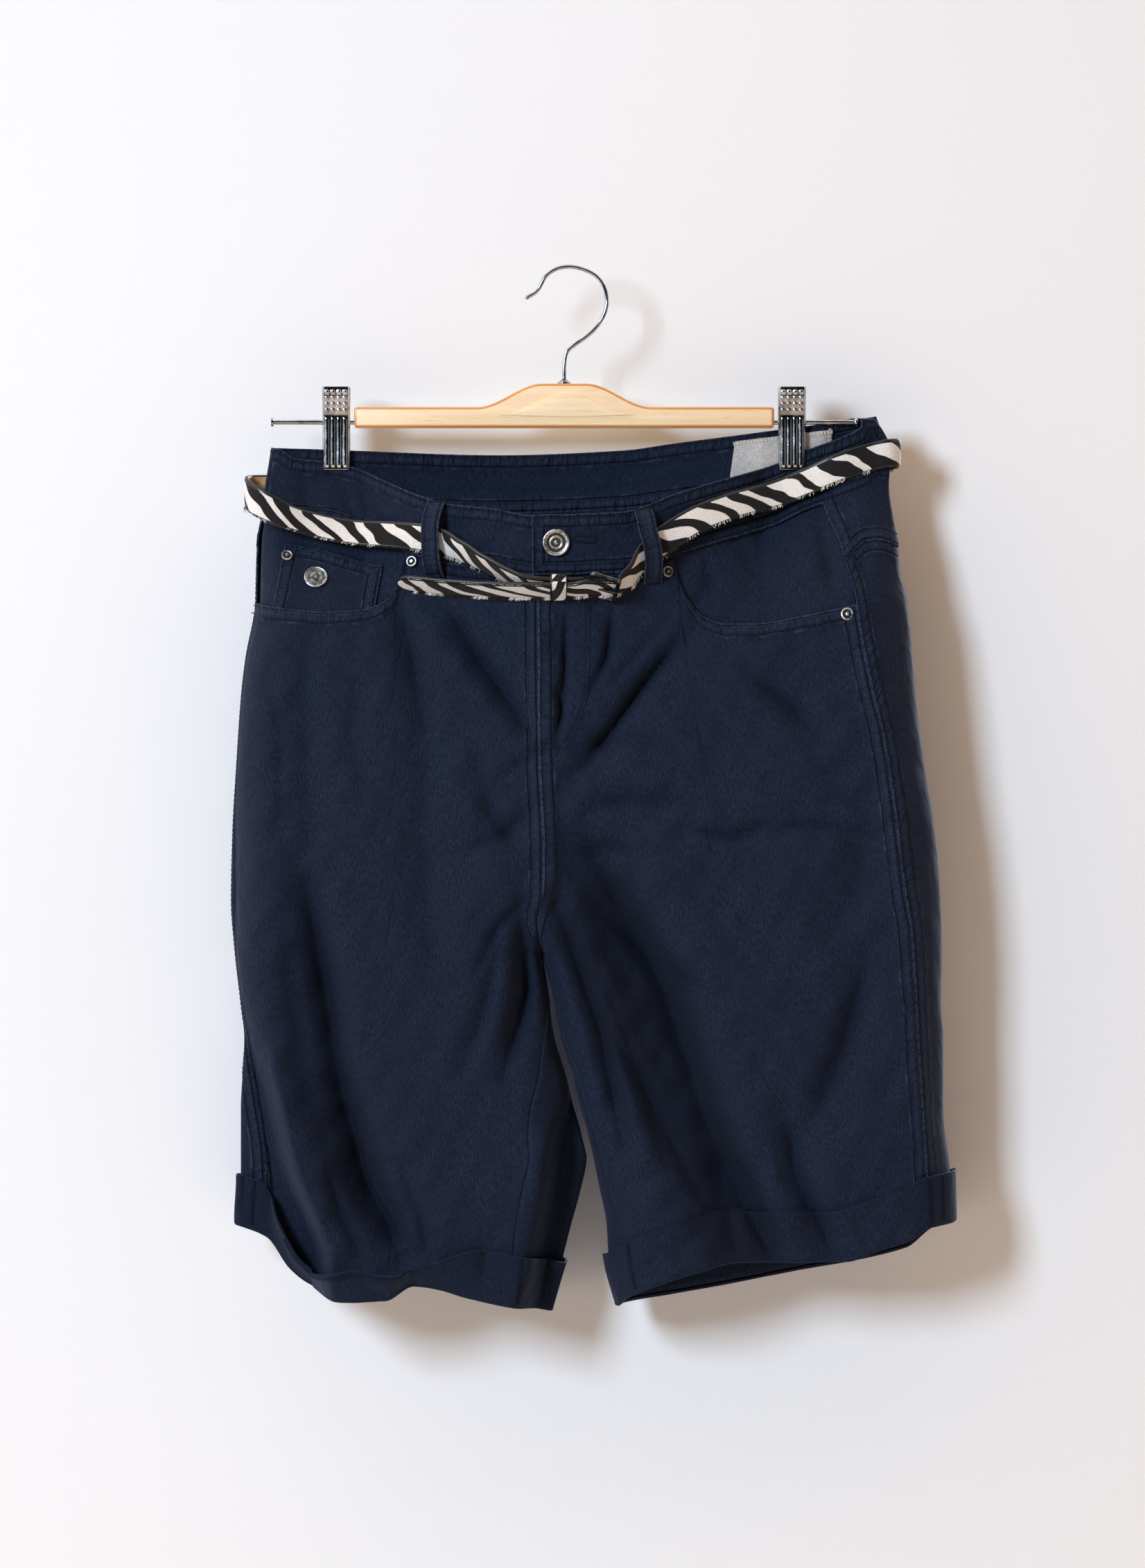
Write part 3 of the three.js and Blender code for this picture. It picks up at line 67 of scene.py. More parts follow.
OUTLINE = rows(
    "z right left",
    (-93, -184, 189), (-103, -185, 196), (-113, -186, 200), (-136, -189.6, 198.7), (-153, -191.8, 201),
    (-168, -194.4, 203.8), (-190, -195.2, 206), (-208, -195.6, 210.3), (-243, -201.7, 213.7),
    (-265, -204.3, 215.4), (-308, -207.3, 220.6), (-351, -209.8, 227.5), (-394, -210.7, 230.9),
    (-424, -208.6, 231.8), (-458, -204.7, 231.3), (-480, -202.5, 232.6), (-523, -205.1, 232.6),
    (-566, -205.1, 237.4), (-592, -206.8, 238.7), (-650, -206.8, 239),
)
CENTRE_SEAM = rows(
    "z x", (-93, -20), (-258, -18.9), (-302, -18.5), (-365, -15.9), (-389, -16.3), (-406, -20), (-424, -18.1),
)
LEG_INNER = rows(
    "z right left",
    (-424, -18.1, -18.1), (-449, -14, -10.8), (-479, -9.5, -5.5), (-504, -2, 2.2), (-521, 2, 6),
    (-534, 5.9, 9.9), (-547, 9, 13), (-554, 10.6, 14.6), (-574, 6.9, 18.7), (-595, 1.2, 22.8),
    (-620, -5.2, 24.4), (-647, -12.5, 31), (-660, -16, 34),
)
RIGHT_LOBE = rows(
    "z outer",
    (-430, -208), (-447, -205.9), (-474, -200.5), (-504, -195.1), (-530, -189.5), (-559, -182.5),
    (-577, -175.6), (-593, -168.4), (-611, -162.4), (-650, -158),
)
RIGHT_LOBE_IN = rows("z inner", (-500, -2), (-517, 0), (-574, -5), (-612, -12.5), (-650, -22))
LEFT_SIDE_SEAM = rows(
    "z x",
    (-110, 150), (-147.5, 157.8), (-172.4, 167.7), (-183.2, 170.3), (-202.5, 175.9), (-227, 179.7),
    (-256, 185.3), (-295, 194.4), (-341, 201.2), (-384, 206.4), (-415, 211.1), (-485, 215.4), (-565, 220.6),
    (-620, 223.5),
)
RIGHT_SIDE_TURN = rows("z turn", (-440, 0.5), (-480, 0.47), (-517, 0.43), (-563, 0.413), (-650, 0.41))
INSEAM_TURN = rows(
    "z right left",
    (-424, 0, 0), (-455, 0.022, 0.018), (-495, 0.084, 0.038), (-540, 0.129, 0.05), (-574, 0.136, 0.058),
    (-612, 0.13, 0.078), (-650, 0.12, 0.08),
)
FRONT_TOP = rows(
    "x z",
    (-186, -112.7), (-175, -118.7), (-153.5, -120.4), (-137, -124.3), (-122.6, -130.7), (-92.9, -143.2),
    (-74, -148.4), (-46.9, -151.4), (-22.8, -155.5), (33.5, -153.5), (51.2, -148.4), (66.2, -142.3),
    (86.4, -135.9), (127.3, -123), (147.1, -113.5), (175.9, -103.6), (186.6, -98.8), (190, -94.2),
)
BACK_TOP = rows(
    "x z",
    (-186, -111.6), (-135, -113.5), (-47, -115.7), (33.5, -112.7), (66, -108.4), (121, -101.9),
    (162, -96.8), (186, -93),
)
HEM = {
    "right_front": rows(
        "x z",
        (-207, -593.4), (-188.8, -601), (-174.6, -620.5), (-163.4, -629.5), (-141, -639), (-114, -638.1),
        (-95.9, -629), (-79, -631.7), (-63.2, -636.4), (-33.1, -642.9), (-12.5, -646.7),
    ),
    "right_back": rows("x z", (-207, -593.4), (-150, -606), (-96, -618), (-50, -632), (-12.5, -646.7)),
    "left_front": rows(
        "x z",
        (31, -643), (36, -637.3), (57.2, -627.8), (78.3, -620.9), (104.9, -614.9), (170, -614),
        (189.2, -607.6), (210.3, -600.7), (220, -593.6), (238.7, -590.8),
    ),
    "left_back": rows(
        "x z",
        (31, -643.7), (61.1, -639.8), (139.8, -625.2), (211.1, -610.2), (225.8, -597.7), (238.7, -590.8),
    ),
}
RIGHT_CUFF_TOP = rows(
    "x z",
    (-206, -565.5), (-188.8, -565), (-180, -592), (-166.4, -618), (-155, -625), (-133, -622.2),
    (-106, -626), (-96.8, -622), (-80.8, -616), (-56.8, -609.3), (-36, -611.9), (-10.8, -619.5),
)
SCOOP = {
    "right": rows(
        "x z",
        (-197, -208.1), (-184.9, -211.6), (-150.5, -215), (-132.4, -214.1), (-119.1, -210.7),
        (-110.9, -205.1), (-107, -198.2), (-101.9, -178),
    ),
    "left": rows(
        "x z",
        (62.5, -178), (65.5, -190), (69.5, -200), (75.7, -210.7), (83.9, -218.4), (96.3, -222.3),
        (112.7, -222.3), (148.4, -216.7), (177, -210.5),
    ),
}
COIN_TOP = rows("x z", (-176.7, -172.2), (-158.7, -174.6), (-142.3, -179.3), (-121.7, -185.3))
LEFT_YOKE = rows("x z", (170.7, -183.2), (176.3, -176.3), (184, -170.3), (192.2, -169.4), (204.7, -172.9))
FULLNESS = rows(
    "z front back",
    (-93, 14, 6), (-160, 30, 14), (-208, 34, 22), (-300, 38, 30), (-424, 38, 30), (-520, 36, 30),
    (-650, 36, 32),
)
# The largest folds, as in the solids, and the creases that only the finish has
FOLDS = rows(
    "x0 z0 x1 z1 x2 z2 width depth",
    (-107, -208, -98, -235, -89, -285, 9, 5), (-89, -275, -90, -350, -82, -450, 14, 2.5),
    (-78, -205, -56, -243, -22, -292, 8, 6.5), (-163, -215, -162, -310, -160, -390, 14, 2.5),
    (-162, -385, -150, -455, -139, -525, 10, 9), (-141, -510, -125, -570, -103, -612, 11, 13),
    (-29, -402, -27, -450, -40, -502, 8, 8), (77, -224, 48, -256, 4, -315, 7, 4),
    (-8, -394, 18, -470, 34, -545, 8, 7), (14, -362, 60, -450, 96, -560, 15, 10),
    (134, -525, 141, -565, 163, -612, 9, 5),
)
CREASES = rows(
    "x0 z0 x1 z1 x2 z2 width depth",
    (27, -213, 23, -243, 12, -265, 3.5, 3.2), (-2, -218, -3, -250, -6, -288, 2.6, 2.6),
    (-8, -262, -5, -276, -8, -290, 2, 1.6), (66, -234, 34, -277, 9, -311, 2.8, 2.6),
    (58, -222, 40, -243, 22, -262, 4, 1.6), (113, -254, 137, -273, 154, -291, 8, 3),
    (70, -349, 102, -354, 128, -344, 4.5, 2.2), (118, -352, 150, -346, 188, -352, 5, 1.8),
    (150, -334, 168, -330, 186, -336, 4, 1.2), (10, -336, 40, -330, 78, -334, 6, 2.2),
    (6, -300, 40, -292, 70, -300, 7, 1.8), (10, -361, 30, -360, 46, -366, 4, 1.8),
    (184, -428, 171, -480, 150, -531, 11, 3.6), (-139, -130, -119, -155, -104, -176, 4.5, 2.2),
    (-152, -126, -140, -140, -131, -160, 3.5, 1.2), (85, -179, 88, -195, 88, -208, 2.8, 2.4),
    (87, -191, 81, -204, 77, -211, 2.8, 2.2), (153, -158, 160, -182, 163, -206, 6, 2.6),
    (104, -166, 110, -182, 122, -196, 6, 1.4), (-8, -296, -24, -304, -44, -318, 4, 1.4),
    (-14, -330, -40, -352, -70, -366, 6, 1.6), (-26, -392, -44, -410, -58, -438, 5, 2.2),
    (20, -400, 52, -430, 92, -452, 7, 2.2), (24, -470, 52, -520, 78, -572, 6, 2.4),
    (92, -540, 110, -586, 126, -618, 10, 5), (4, -376, 42, -462, 80, -572, 24, 6),
    (84, -540, 98, -590, 106, -622, 18, 5), (-176, -400, -166, -500, -126, -606, 18, 4),
    (-60, -300, -48, -340, -24, -372, 8, 1.8), (-150, -560, -141, -590, -128, -616, 5, 2.4),
    (-104, -560, -92, -590, -86, -618, 7, 2), (-44, -420, -52, -460, -66, -500, 7, 2.2),
    (16, -430, 44, -500, 60, -560, 7, 2.2), (112, -560, 122, -590, 126, -616, 7, 1.8),
    (188, -330, 178, -380, 160, -420, 12, 1.6), (-186, -250, -178, -300, -180, -350, 8, 1.2),
    (-130, -240, -134, -290, -128, -330, 10, 1.2),
)
BACK_CREASES = rows(
    "x0 z0 x1 z1 x2 z2 width depth",
    (-60, -360, -110, -372, -160, -360, 10, 3), (-40, -400, -90, -408, -140, -420, 8, 3),
    (10, -372, 70, -384, 140, -372, 11, 3.2), (6, -410, 60, -418, 110, -436, 8, 2.8),
    (-150, -440, -140, -500, -150, -570, 14, 3), (-60, -450, -70, -510, -64, -580, 12, 2.6),
    (70, -450, 84, -520, 90, -580, 14, 3), (170, -440, 164, -500, 176, -560, 14, 2.6),
    (-40, -230, -70, -270, -100, -300, 9, 1.8), (10, -230, 40, -262, 60, -300, 9, 1.8),
)

CROTCH_Z = -424
CROTCH_RISE = 45
FOLD_RADIUS = 2.8
BAND_HEIGHT = 36.5
BAND_WALL = 1.8
CUFF_HEIGHT = 29
CUFF_LIFT = 0.9
CUFF_WALL = 1.6
FLOP_SHARE = 0.5
HANGER_X = -3.5
CLIP_REACH = 142
FACING_LIFT = -2.6
COIN_LIFT = -1.2
TAB_LIFT = 2.2


# Curves and the surface of the garment

def lerp(a, b, share):
    return a + (b - a) * share


def smooth(low, high, value):
    share = np.clip((value - low) / (high - low), 0, 1)
    return share * share * (3 - 2 * share)


def shoulder(inset, reach):
    """Quarter ellipse: 0 at an edge, 1 once inset by the reach."""
    share = 1 - np.clip(inset / reach, 0, 1)
    return np.sqrt(np.maximum(0, 1 - share * share))


def curve(table, key, value):
    """A smooth curve through two columns of a table that never overshoots its rows."""
    order = np.argsort(table[key])
    keys, values = table[key][order], table[value][order]
    slope = np.diff(values) / np.diff(keys)
    product = slope[:-1] * slope[1:]
    total = np.where(product > 0, slope[:-1] + slope[1:], 1)
    inner = np.where(product > 0, 2 * product / total, 0)
    tangent = np.concatenate([slope[:1], inner, slope[-1:]])

    def at(place):
        place = np.clip(place, keys[0], keys[-1])
        i = np.clip(np.searchsorted(keys, place) - 1, 0, len(keys) - 2)
        span = keys[i + 1] - keys[i]
        t = (place - keys[i]) / span
        bend = t * (1 - t) * ((1 - t) * tangent[i] - t * tangent[i + 1]) * span
        return values[i] + (values[i + 1] - values[i]) * t * t * (3 - 2 * t) + bend

    return at


outer_edge, leg_inner, inseam_turn = (
    {side: curve(table, "z", side) for side in SIDES} for table in (OUTLINE, LEG_INNER, INSEAM_TURN))
centre_seam = curve(CENTRE_SEAM, "z", "x")
lobe_outer = curve(RIGHT_LOBE, "z", "outer")
lobe_inner = curve(RIGHT_LOBE_IN, "z", "inner")
left_side_seam = curve(LEFT_SIDE_SEAM, "z", "x")
right_side_turn = curve(RIGHT_SIDE_TURN, "z", "turn")
front_top, back_top, right_cuff_top, coin_top, left_yoke = (
    curve(table, "x", "z") for table in (FRONT_TOP, BACK_TOP, RIGHT_CUFF_TOP, COIN_TOP, LEFT_YOKE))
hem, scoop = ({name: curve(table, "x", "z") for name, table in group.items()} for group in (HEM, SCOOP))
front_full, back_full = (curve(FULLNESS, "z", name) for name in ("front", "back"))


def inner_edge(side, z):
    return np.where(z > CROTCH_Z, centre_seam(z), leg_inner[side](z))


def outward(side):
    return -1 if side == "right" else 1


def pinched(x, lift, bump):
    """How far an edge lifts off the middle plane between the two clips, and outside them."""
    near = 19
    right, left = HANGER_X - CLIP_REACH, HANGER_X + CLIP_REACH
    share = np.clip((x - right - near) / (left - right - 2 * near), 0, 1)
    between = lift * np.sin(np.pi * share) ** 0.8
    beyond = np.where(x < 0, right - near - x, x - left - near)
    outside = bump * np.sin(np.pi * np.clip(beyond / 34, 0, 1))
    return np.where((share > 0) & (share < 1), between, outside)


def sunk(table, x, z, core=0.0):
    """Depth of a table's folds at points: soft troughs along two straight runs each, and a share of
    their depth again in a narrow core."""
    total = np.zeros(np.broadcast(x, z).shape)
    for i in range(len(table["width"])):
        f = {name: column[i] for name, column in table.items()}
        best = np.full(total.shape, np.inf)
        along = np.zeros(total.shape)
        for ax, az, bx, bz, start in (
            (f["x0"], f["z0"], f["x1"], f["z1"], 0), (f["x1"], f["z1"], f["x2"], f["z2"], 0.5),
        ):
            dx, dz = bx - ax, bz - az
            t = np.clip(((x - ax) * dx + (z - az) * dz) / (dx * dx + dz * dz), 0, 1)
            gap = np.hypot(x - ax - dx * t, z - az - dz * t)
            along = np.where(gap < best, start + t / 2, along)
            best = np.minimum(gap, best)
        fade = np.sqrt(np.sin(np.pi * np.clip(along, 0.04, 0.96)))
        trough = np.exp(-((best / f["width"]) ** 2)) + core * np.exp(-((best / (0.36 * f["width"])) ** 2))
        total = total + f["depth"] * fade * trough
    return total


WAVES = np.random.default_rng(11).uniform(-1, 1, (14, 4))


def ripple(x, z, length):
    """Slow unevenness of hanging cloth, about 1 at most: waves of mixed direction."""
    total = np.zeros(np.broadcast(x, z).shape)
    for a, b, phase, stretch in WAVES:
        scale = 2 * np.pi / (length * (1.3 + stretch))
        angle = a * 0.9
        total = total + np.sin(scale * (x * math.cos(angle) + z * math.sin(angle) * (0.5 + abs(b))) + 6 * phase)
    return total / 6


LIP = {"front": (42, 5), "back": (12, 4)}
LIP_REACH = 8
OUTER_REACH = {"front": 30, "back": 38}
INNER_REACH = 40
OUTER_CALM, INNER_CALM = 18, 14
FOLD_CORE, BACK_CORE = 0.3, 0.2
FOLD_GAIN, CREASE_GAIN, BACK_GAIN = 0.6, 1.9, 1.3
RIPPLE_LENGTH, RIPPLE_GAIN, BACK_RIPPLE, FINE_RIPPLE = 46, 1.5, 0.9, 0.15


def lobe_share(inset, strip, reach):
    return lerp(shoulder(inset, reach), smooth(0, 16, inset), smooth(0, 12, strip))


def from_edges(side, x, z):
    """Distances from the outer and the inner edge, how far up the torso a point is, and the depth
    of the round that joins front and back."""
    sign = outward(side)
    edge = (outer_edge[side](z) - x) * sign
    in_edge = (x - inner_edge(side, z)) * sign
    torso = shoulder(z - CROTCH_Z, CROTCH_RISE)
    rim = FOLD_RADIUS * shoulder(edge, FOLD_RADIUS) * lerp(shoulder(in_edge, FOLD_RADIUS), 1, torso)
    return edge, in_edge, torso, rim


def front_depth(side, x, z, fine=1.0):
    edge, in_edge, torso, rim = from_edges(side, x, z)
    out_strip, in_strip = 0.0, 0.0
    if side == "right":
        out_strip = np.maximum(0, lobe_outer(z) - outer_edge[side](z))
        in_strip = np.where(z < CROTCH_Z, np.maximum(0, inner_edge(side, z) - lobe_inner(z)), 0)
    out_share = lobe_share(edge - out_strip, out_strip, OUTER_REACH["front"])
    in_share = lerp(lobe_share(in_edge - in_strip, in_strip, INNER_REACH), 1, torso)
    body = front_full(z) * out_share * in_share
    lip = pinched(x, *LIP["front"]) * shoulder(edge, LIP_REACH)
    drop = front_top(x) - z
    below = smooth(8, 118, drop)
    guard = smooth(0, OUTER_CALM, edge - out_strip) * lerp(smooth(0, INNER_CALM, in_edge - in_strip), 1, torso)
    fold = sunk(FOLDS, x, z, FOLD_CORE * fine) * below * (1 + FOLD_GAIN * fine)
    if fine:
        crease = sunk(CREASES, x, z, FOLD_CORE) * smooth(0, 30, drop)
        uneven = RIPPLE_GAIN * ripple(x, z, RIPPLE_LENGTH) + FINE_RIPPLE * ripple(z * 0.8, x, RIPPLE_LENGTH / 2)
        fold = fold + fine * (CREASE_GAIN * crease + uneven)
    return rim + lerp(lip, body, below) - fold * guard


def back_depth(side, x, z, fine=1.0):
    edge, in_edge, torso, rim = from_edges(side, x, z)
    body = back_full(z) * shoulder(edge, OUTER_REACH["back"]) * lerp(shoulder(in_edge, INNER_REACH), 1, torso)
    lip = pinched(x, *LIP["back"]) * shoulder(edge, LIP_REACH)
    below = smooth(26, 130, back_top(x) - z)
    fold = 0.0
    if fine:
        guard = smooth(0, OUTER_CALM, edge) * lerp(smooth(0, INNER_CALM, in_edge), 1, torso) * below
        crease = BACK_GAIN * sunk(BACK_CREASES, x, z, BACK_CORE)
        fold = fine * guard * (crease + BACK_RIPPLE * ripple(x + 37, z, RIPPLE_LENGTH))
    return rim + lerp(lip, body, below) - fold


def depth(side, back, x, z, fine=1.0):
    return np.where(back, back_depth(side, x, z, fine), front_depth(side, x, z, fine))


def normal_at(side, back, x, z, fine=1.0):
    h = 0.002
    dx = (depth(side, back, x + h, z, fine) - depth(side, back, x - h, z, fine)) / (2 * h)
    dz = (depth(side, back, x, z + h, fine) - depth(side, back, x, z - h, fine)) / (2 * h)
    return unit(np.stack([-dx, np.where(back, 1.0, -1.0), -dz], axis=-1))


def surface(side, back, x, z, lift=0.0, fine=1.0):
    """Points of the garment's surface, lifted along its outward normal, and those normals."""
    x, z, back = np.broadcast_arrays(np.asarray(x, float), np.asarray(z, float), back)
    facing = np.where(back, 1.0, -1.0)
    point = np.stack([x, facing * depth(side, back, x, z, fine), z], axis=-1)
    normal = normal_at(side, back, x, z, fine)
    return point + normal * np.broadcast_to(np.asarray(lift, float), x.shape)[..., None], normal


def place_at_turn(side, turn, z):
    """A place by its turn round one half: 0 centre front or inner leg, 0.5 the side, 1 centre back."""
    share = (1 - np.cos(2 * np.pi * turn)) / 2
    return lerp(inner_edge(side, z), outer_edge[side](z), share), (turn >= 0.5) & (turn <= 1)


def turn_at_x(side, x, z):
    inner = inner_edge(side, z)
    return np.arccos(1 - 2 * np.clip((x - inner) / (outer_edge[side](z) - inner), 0, 1)) / (2 * np.pi)


def side_turn(side, z):
    return right_side_turn(z) if side == "right" else turn_at_x(side, left_side_seam(z), z)


def front_turn(side, share, z):
    return lerp(inseam_turn[side](z), side_turn(side, z), share)


def band_bottom(side, back, x, z):
    return np.where(back, back_top(x), front_top(x)) - BAND_HEIGHT


def leg_bottom(side, back, x, z):
    return np.where(back, hem[side + "_back"](x), hem[side + "_front"](x))


def yoke_bottom(side, back, x, z):
    inner = centre_seam(z)
    fall = lerp(-212, -172.9, np.clip((x - inner) / (outer_edge[side](z) - inner), 0, 1))
    return np.where(back, fall, left_yoke(x) if side == "left" else -172)


def halved(height_at, start):
    """Heights that a function settles on when it is followed half-way, over and over."""
    z = np.asarray(start, float)
    for _ in range(14):
        z = (z + height_at(z)) / 2
    return z


def settled(side, turn_of, edge, start):
    """Heights where columns meet an edge that is drawn over x."""
    def height_at(z):
        x, back = place_at_turn(side, turn_of(z), z)
        return edge(side, back, x, z)

    return height_at(halved(height_at, start))


# Panels: grids of points on the cloth

FRONT_GRID = (151, 171)
BACK_GRID = (97, 141)
CROTCH_ROW = (14 / 23, CROTCH_Z)
WRAP = 4 / 15
LOBE_COLUMNS = rows("share inset", (11 / 17, 27), (12 / 17, 15), (13 / 17, 9), (14 / 17, 4.5), (15 / 17, 0))
lobe_inset = curve(LOBE_COLUMNS, "share", "inset")


def lobe_x(share, z, start, end):
    edge = lobe_outer(z)
    first, last = LOBE_COLUMNS["share"][0], LOBE_COLUMNS["share"][-1]
    inner = lerp(start, edge + LOBE_COLUMNS["inset"][0], share / first)
    outer = lerp(edge, end, (share - last) / (1 - last))
    return np.where(share < first, inner, np.where(share > last, outer, edge + lobe_inset(share)))


def front_cut(side, share, z):
    """Turn of a front's column at a height; low on the right the columns keep to the bulging edge."""
    even = front_turn(side, share, z)
    if side == "left":
        return even
    follow = np.where(z > CROTCH_Z, 0, smooth(0, 10, lobe_outer(z) - outer_edge[side](z)))
    x_even, _ = place_at_turn(side, even, z)
    start, _ = place_at_turn(side, inseam_turn[side](z), z)
    end, _ = place_at_turn(side, side_turn(side, z), z)
    bent = turn_at_x(side, lerp(x_even, lobe_x(share, z, start, end), follow), z)
    return np.where(follow > 0, bent, even)


def back_cut(side, share, z):
    end = 1 + inseam_turn[side](z)
    if side == "right":
        return lerp(right_side_turn(z), end, share)
    wrapped = lerp(side_turn(side, z), 0.5, share / WRAP)
    return np.where(share <= WRAP, wrapped, lerp(0.5, end, (share - WRAP) / (1 - WRAP)))


def leg_cut(side, share, z):
    """Once round a leg: the front's columns, then the back's."""
    return np.where(share < 0.5, front_cut(side, 2 * share, z), back_cut(side, 2 * share - 1, z))


class Cloth:
    """A grid of points on cloth, columns by rows, with outward normals and distances both ways."""

    def __init__(self, points, normals, ring=False):
        self.points = points
        self.normals = normals
        self.ring = ring
        across = np.linalg.norm(np.diff(points, axis=0), axis=2)
        down = np.linalg.norm(np.diff(points, axis=1), axis=2)
        self.across = np.vstack([np.zeros((1, points.shape[1])), np.cumsum(across, axis=0)])
        self.down = np.hstack([np.zeros((points.shape[0], 1)), np.cumsum(down, axis=1)])

    def gap(self, edge):
        """Distance of every point from an edge: start and end columns, top and bottom rows."""
        return {
            "start": self.across, "end": self.across[-1:] - self.across,
            "top": self.down, "bottom": self.down[:, -1:] - self.down,
        }[edge]

    def lifted(self, amount):
        return Cloth(self.points + self.normals * np.asarray(amount)[..., None], self.normals, self.ring)

    def area(self):
        a = self.points[1:, :-1] - self.points[:-1, :-1]
        b = self.points[:-1, 1:] - self.points[:-1, :-1]
        return np.linalg.norm(np.cross(a, b), axis=2).sum() * MM * MM

    def flat(self):
        """Width and length of the piece as it was cut, in metres."""
        return float(np.percentile(self.across[-1], 98)) * MM, float(self.down[:, -1].max()) * MM

    def line(self, edge, inset, start=0.0, stop=1.0):
        """Points and normals that run along an edge at an inset, from one share of it to another."""
        grids = [self.points, self.normals, self.gap(edge)[..., None]]
        if edge in ("start", "end"):
            grids = [np.swapaxes(grid, 0, 1) for grid in grids]
        if edge in ("end", "bottom"):
            grids = [grid[:, ::-1] for grid in grids]
        count = len(grids[0])
        chosen = range(round(start * (count - 1)), round(stop * (count - 1)) + 1)
        gap = grids.pop()[..., 0]
        return tuple(
            np.array([[np.interp(inset, gap[k], grid[k, :, axis]) for axis in range(3)] for k in chosen])
            for grid in grids)


def cut(side, turn_at, top, bottom, size, lift=0.0, middle=None, grow=(0.0, 0.0), fine=1.0):
    """A piece of the garment between two edges, as a grid of columns and rows."""
    share = np.linspace(0, 1, size[0])
    z_top = settled(side, lambda z: turn_at(side, share, z), top, np.full(size[0], -160.0)) + grow[0]
    z_bottom = settled(side, lambda z: turn_at(side, share, z), bottom, np.full(size[0], -400.0)) - grow[1]
    t = np.linspace(0, 1, size[1])
    z = lerp(z_top[:, None], z_bottom[:, None], t)
    if middle is not None:
        upper = middle[1] + (z_top[:, None] - middle[1]) * np.clip(1 - t / middle[0], 0, 1) ** 1.3
        lower = lerp(middle[1], z_bottom[:, None], np.clip((t - middle[0]) / (1 - middle[0]), 0, 1))
        z = np.where(t <= middle[0], upper, lower)
    x, back = place_at_turn(side, turn_at(side, share[:, None], z), z)
    return Cloth(*surface(side, back, x, z, lift, fine))


def in_scoop(side, x):
    return x < -101.9 if side == "right" else x > 62.5


def front_upper(side, back, x, z):
    seam = band_bottom(side, back, x, z)
    return np.where(in_scoop(side, x), np.minimum(seam, scoop[side](x)), seam)


def raised(cloth, edges, height=0.45, width=8.5):
    """Lift a border by the seam allowance that lies folded under it."""
    gap = np.full(cloth.across.shape, np.inf)
    for edge in edges:
        gap = np.minimum(gap, cloth.gap(edge))
    return cloth.lifted(height * (1 - smooth(width - 1.5, width + 1.2, gap)))


def front_cloth(side):
    cloth = cut(side, front_cut, front_upper, leg_bottom, FRONT_GRID, middle=CROTCH_ROW)
    return raised(cloth, ("start", "end", "top") if side == "left" else ("end", "top"))


def back_cloth(side):
    cloth = cut(side, back_cut, yoke_bottom, leg_bottom, BACK_GRID, middle=CROTCH_ROW)
    return raised(cloth, ("start", "end"))


def yoke_cloth(side):
    cloth = cut(side, back_cut, band_bottom, yoke_bottom, (97, 26), lift=0.4, grow=(0.8, 0.8))
    return raised(cloth, ("bottom",), 0.35)


# The waistband, its tab and underlap, and the pieces inside and on the panels

TAB_X = -22.8
UNDERLAP = (8.0, -2.0, -11.0)
BAND_LIFT = 0.45


def band_cut(side, turn_at, share):
    """Turns of the band's columns, which stand on the columns of the panel below."""
    z = settled(side, lambda z: turn_at(side, share, z), band_bottom, np.full(share.shape, -170.0))
    return turn_at(side, share, z)


def band_places(side, part):
    """Turns of the columns of a stretch of band."""
    if part == "back":
        turn = band_cut(side, back_cut, np.linspace(0 if side == "right" else WRAP, 1, 70))
        return turn if side == "right" else turn[::-1]
    turn = band_cut(side, front_cut, np.linspace(0, 1, 110))
    if side == "left":
        turn = np.concatenate([turn[:-1], band_cut(side, back_cut, np.linspace(0, WRAP, 24))])
    return turn


def band_stretch(side, turn, x=None, lift=0.0):
    """Points and normals of a stretch of band whose columns stand at turns, or at fixed x."""
    t = np.linspace(0, 1, 22)

    def place(z):
        if x is not None:
            across = x[:, None] if np.ndim(z) > 1 else x
            return np.broadcast_to(across, np.shape(z)), np.zeros(np.shape(z), bool)
        return place_at_turn(side, turn[:, None] if np.ndim(z) > 1 else turn, z)

    def height_at(z):
        across, back = place(z)
        return band_bottom(side, back, across, z)

    z0 = height_at(halved(height_at, np.full(len(turn if x is None else x), -170.0)))
    z = z0[:, None] + BAND_HEIGHT * (1 - t) - 0.5 * t
    across, back = place(z)
    return surface(side, back, across, z, lift(across) if callable(lift) else lift, 0.6)


def tab_lift(x):
    """The left front's tab lies over the underlap, then comes down to the cloth."""
    return BAND_LIFT + TAB_LIFT * (1 - smooth(12, 34, x))


def band_front_cloth(side):
    early = np.array(UNDERLAP if side == "right" else (TAB_X,))
    inner = float(centre_seam(-170))
    steps = np.linspace(early[0], inner + (0.6 if side == "right" else -0.6), 22 if side == "right" else 5)
    lift = tab_lift if side == "left" else BAND_LIFT
    first = band_stretch(side, None, steps, lift)
    rest = band_stretch(side, band_places(side, "front"), lift=lift)
    return Cloth(*(np.concatenate([a, b]) for a, b in zip(first, rest)))


def band_back_cloth():
    right = band_stretch("right", band_places("right", "back"), lift=BAND_LIFT)
    left = band_stretch("left", band_places("left", "back"), lift=BAND_LIFT)
    return Cloth(*(np.concatenate([a, b[1:]]) for a, b in zip(right, left)))


def facing_cloth(side):
    start = -92 if side == "right" else 53

    def turn_at(side, share, z):
        return lerp(turn_at_x(side, start, z), side_turn(side, z), share)

    def lower(side, back, x, z):
        return scoop[side](x) - 13

    return cut(side, turn_at, band_bottom, lower, (80, 60), FACING_LIFT, grow=(1, 0), fine=0.5)


COIN = {"outer": -176.7, "inner": -114.3, "outer_lean": 0.2, "inner_lean": 0.16, "top": -172}


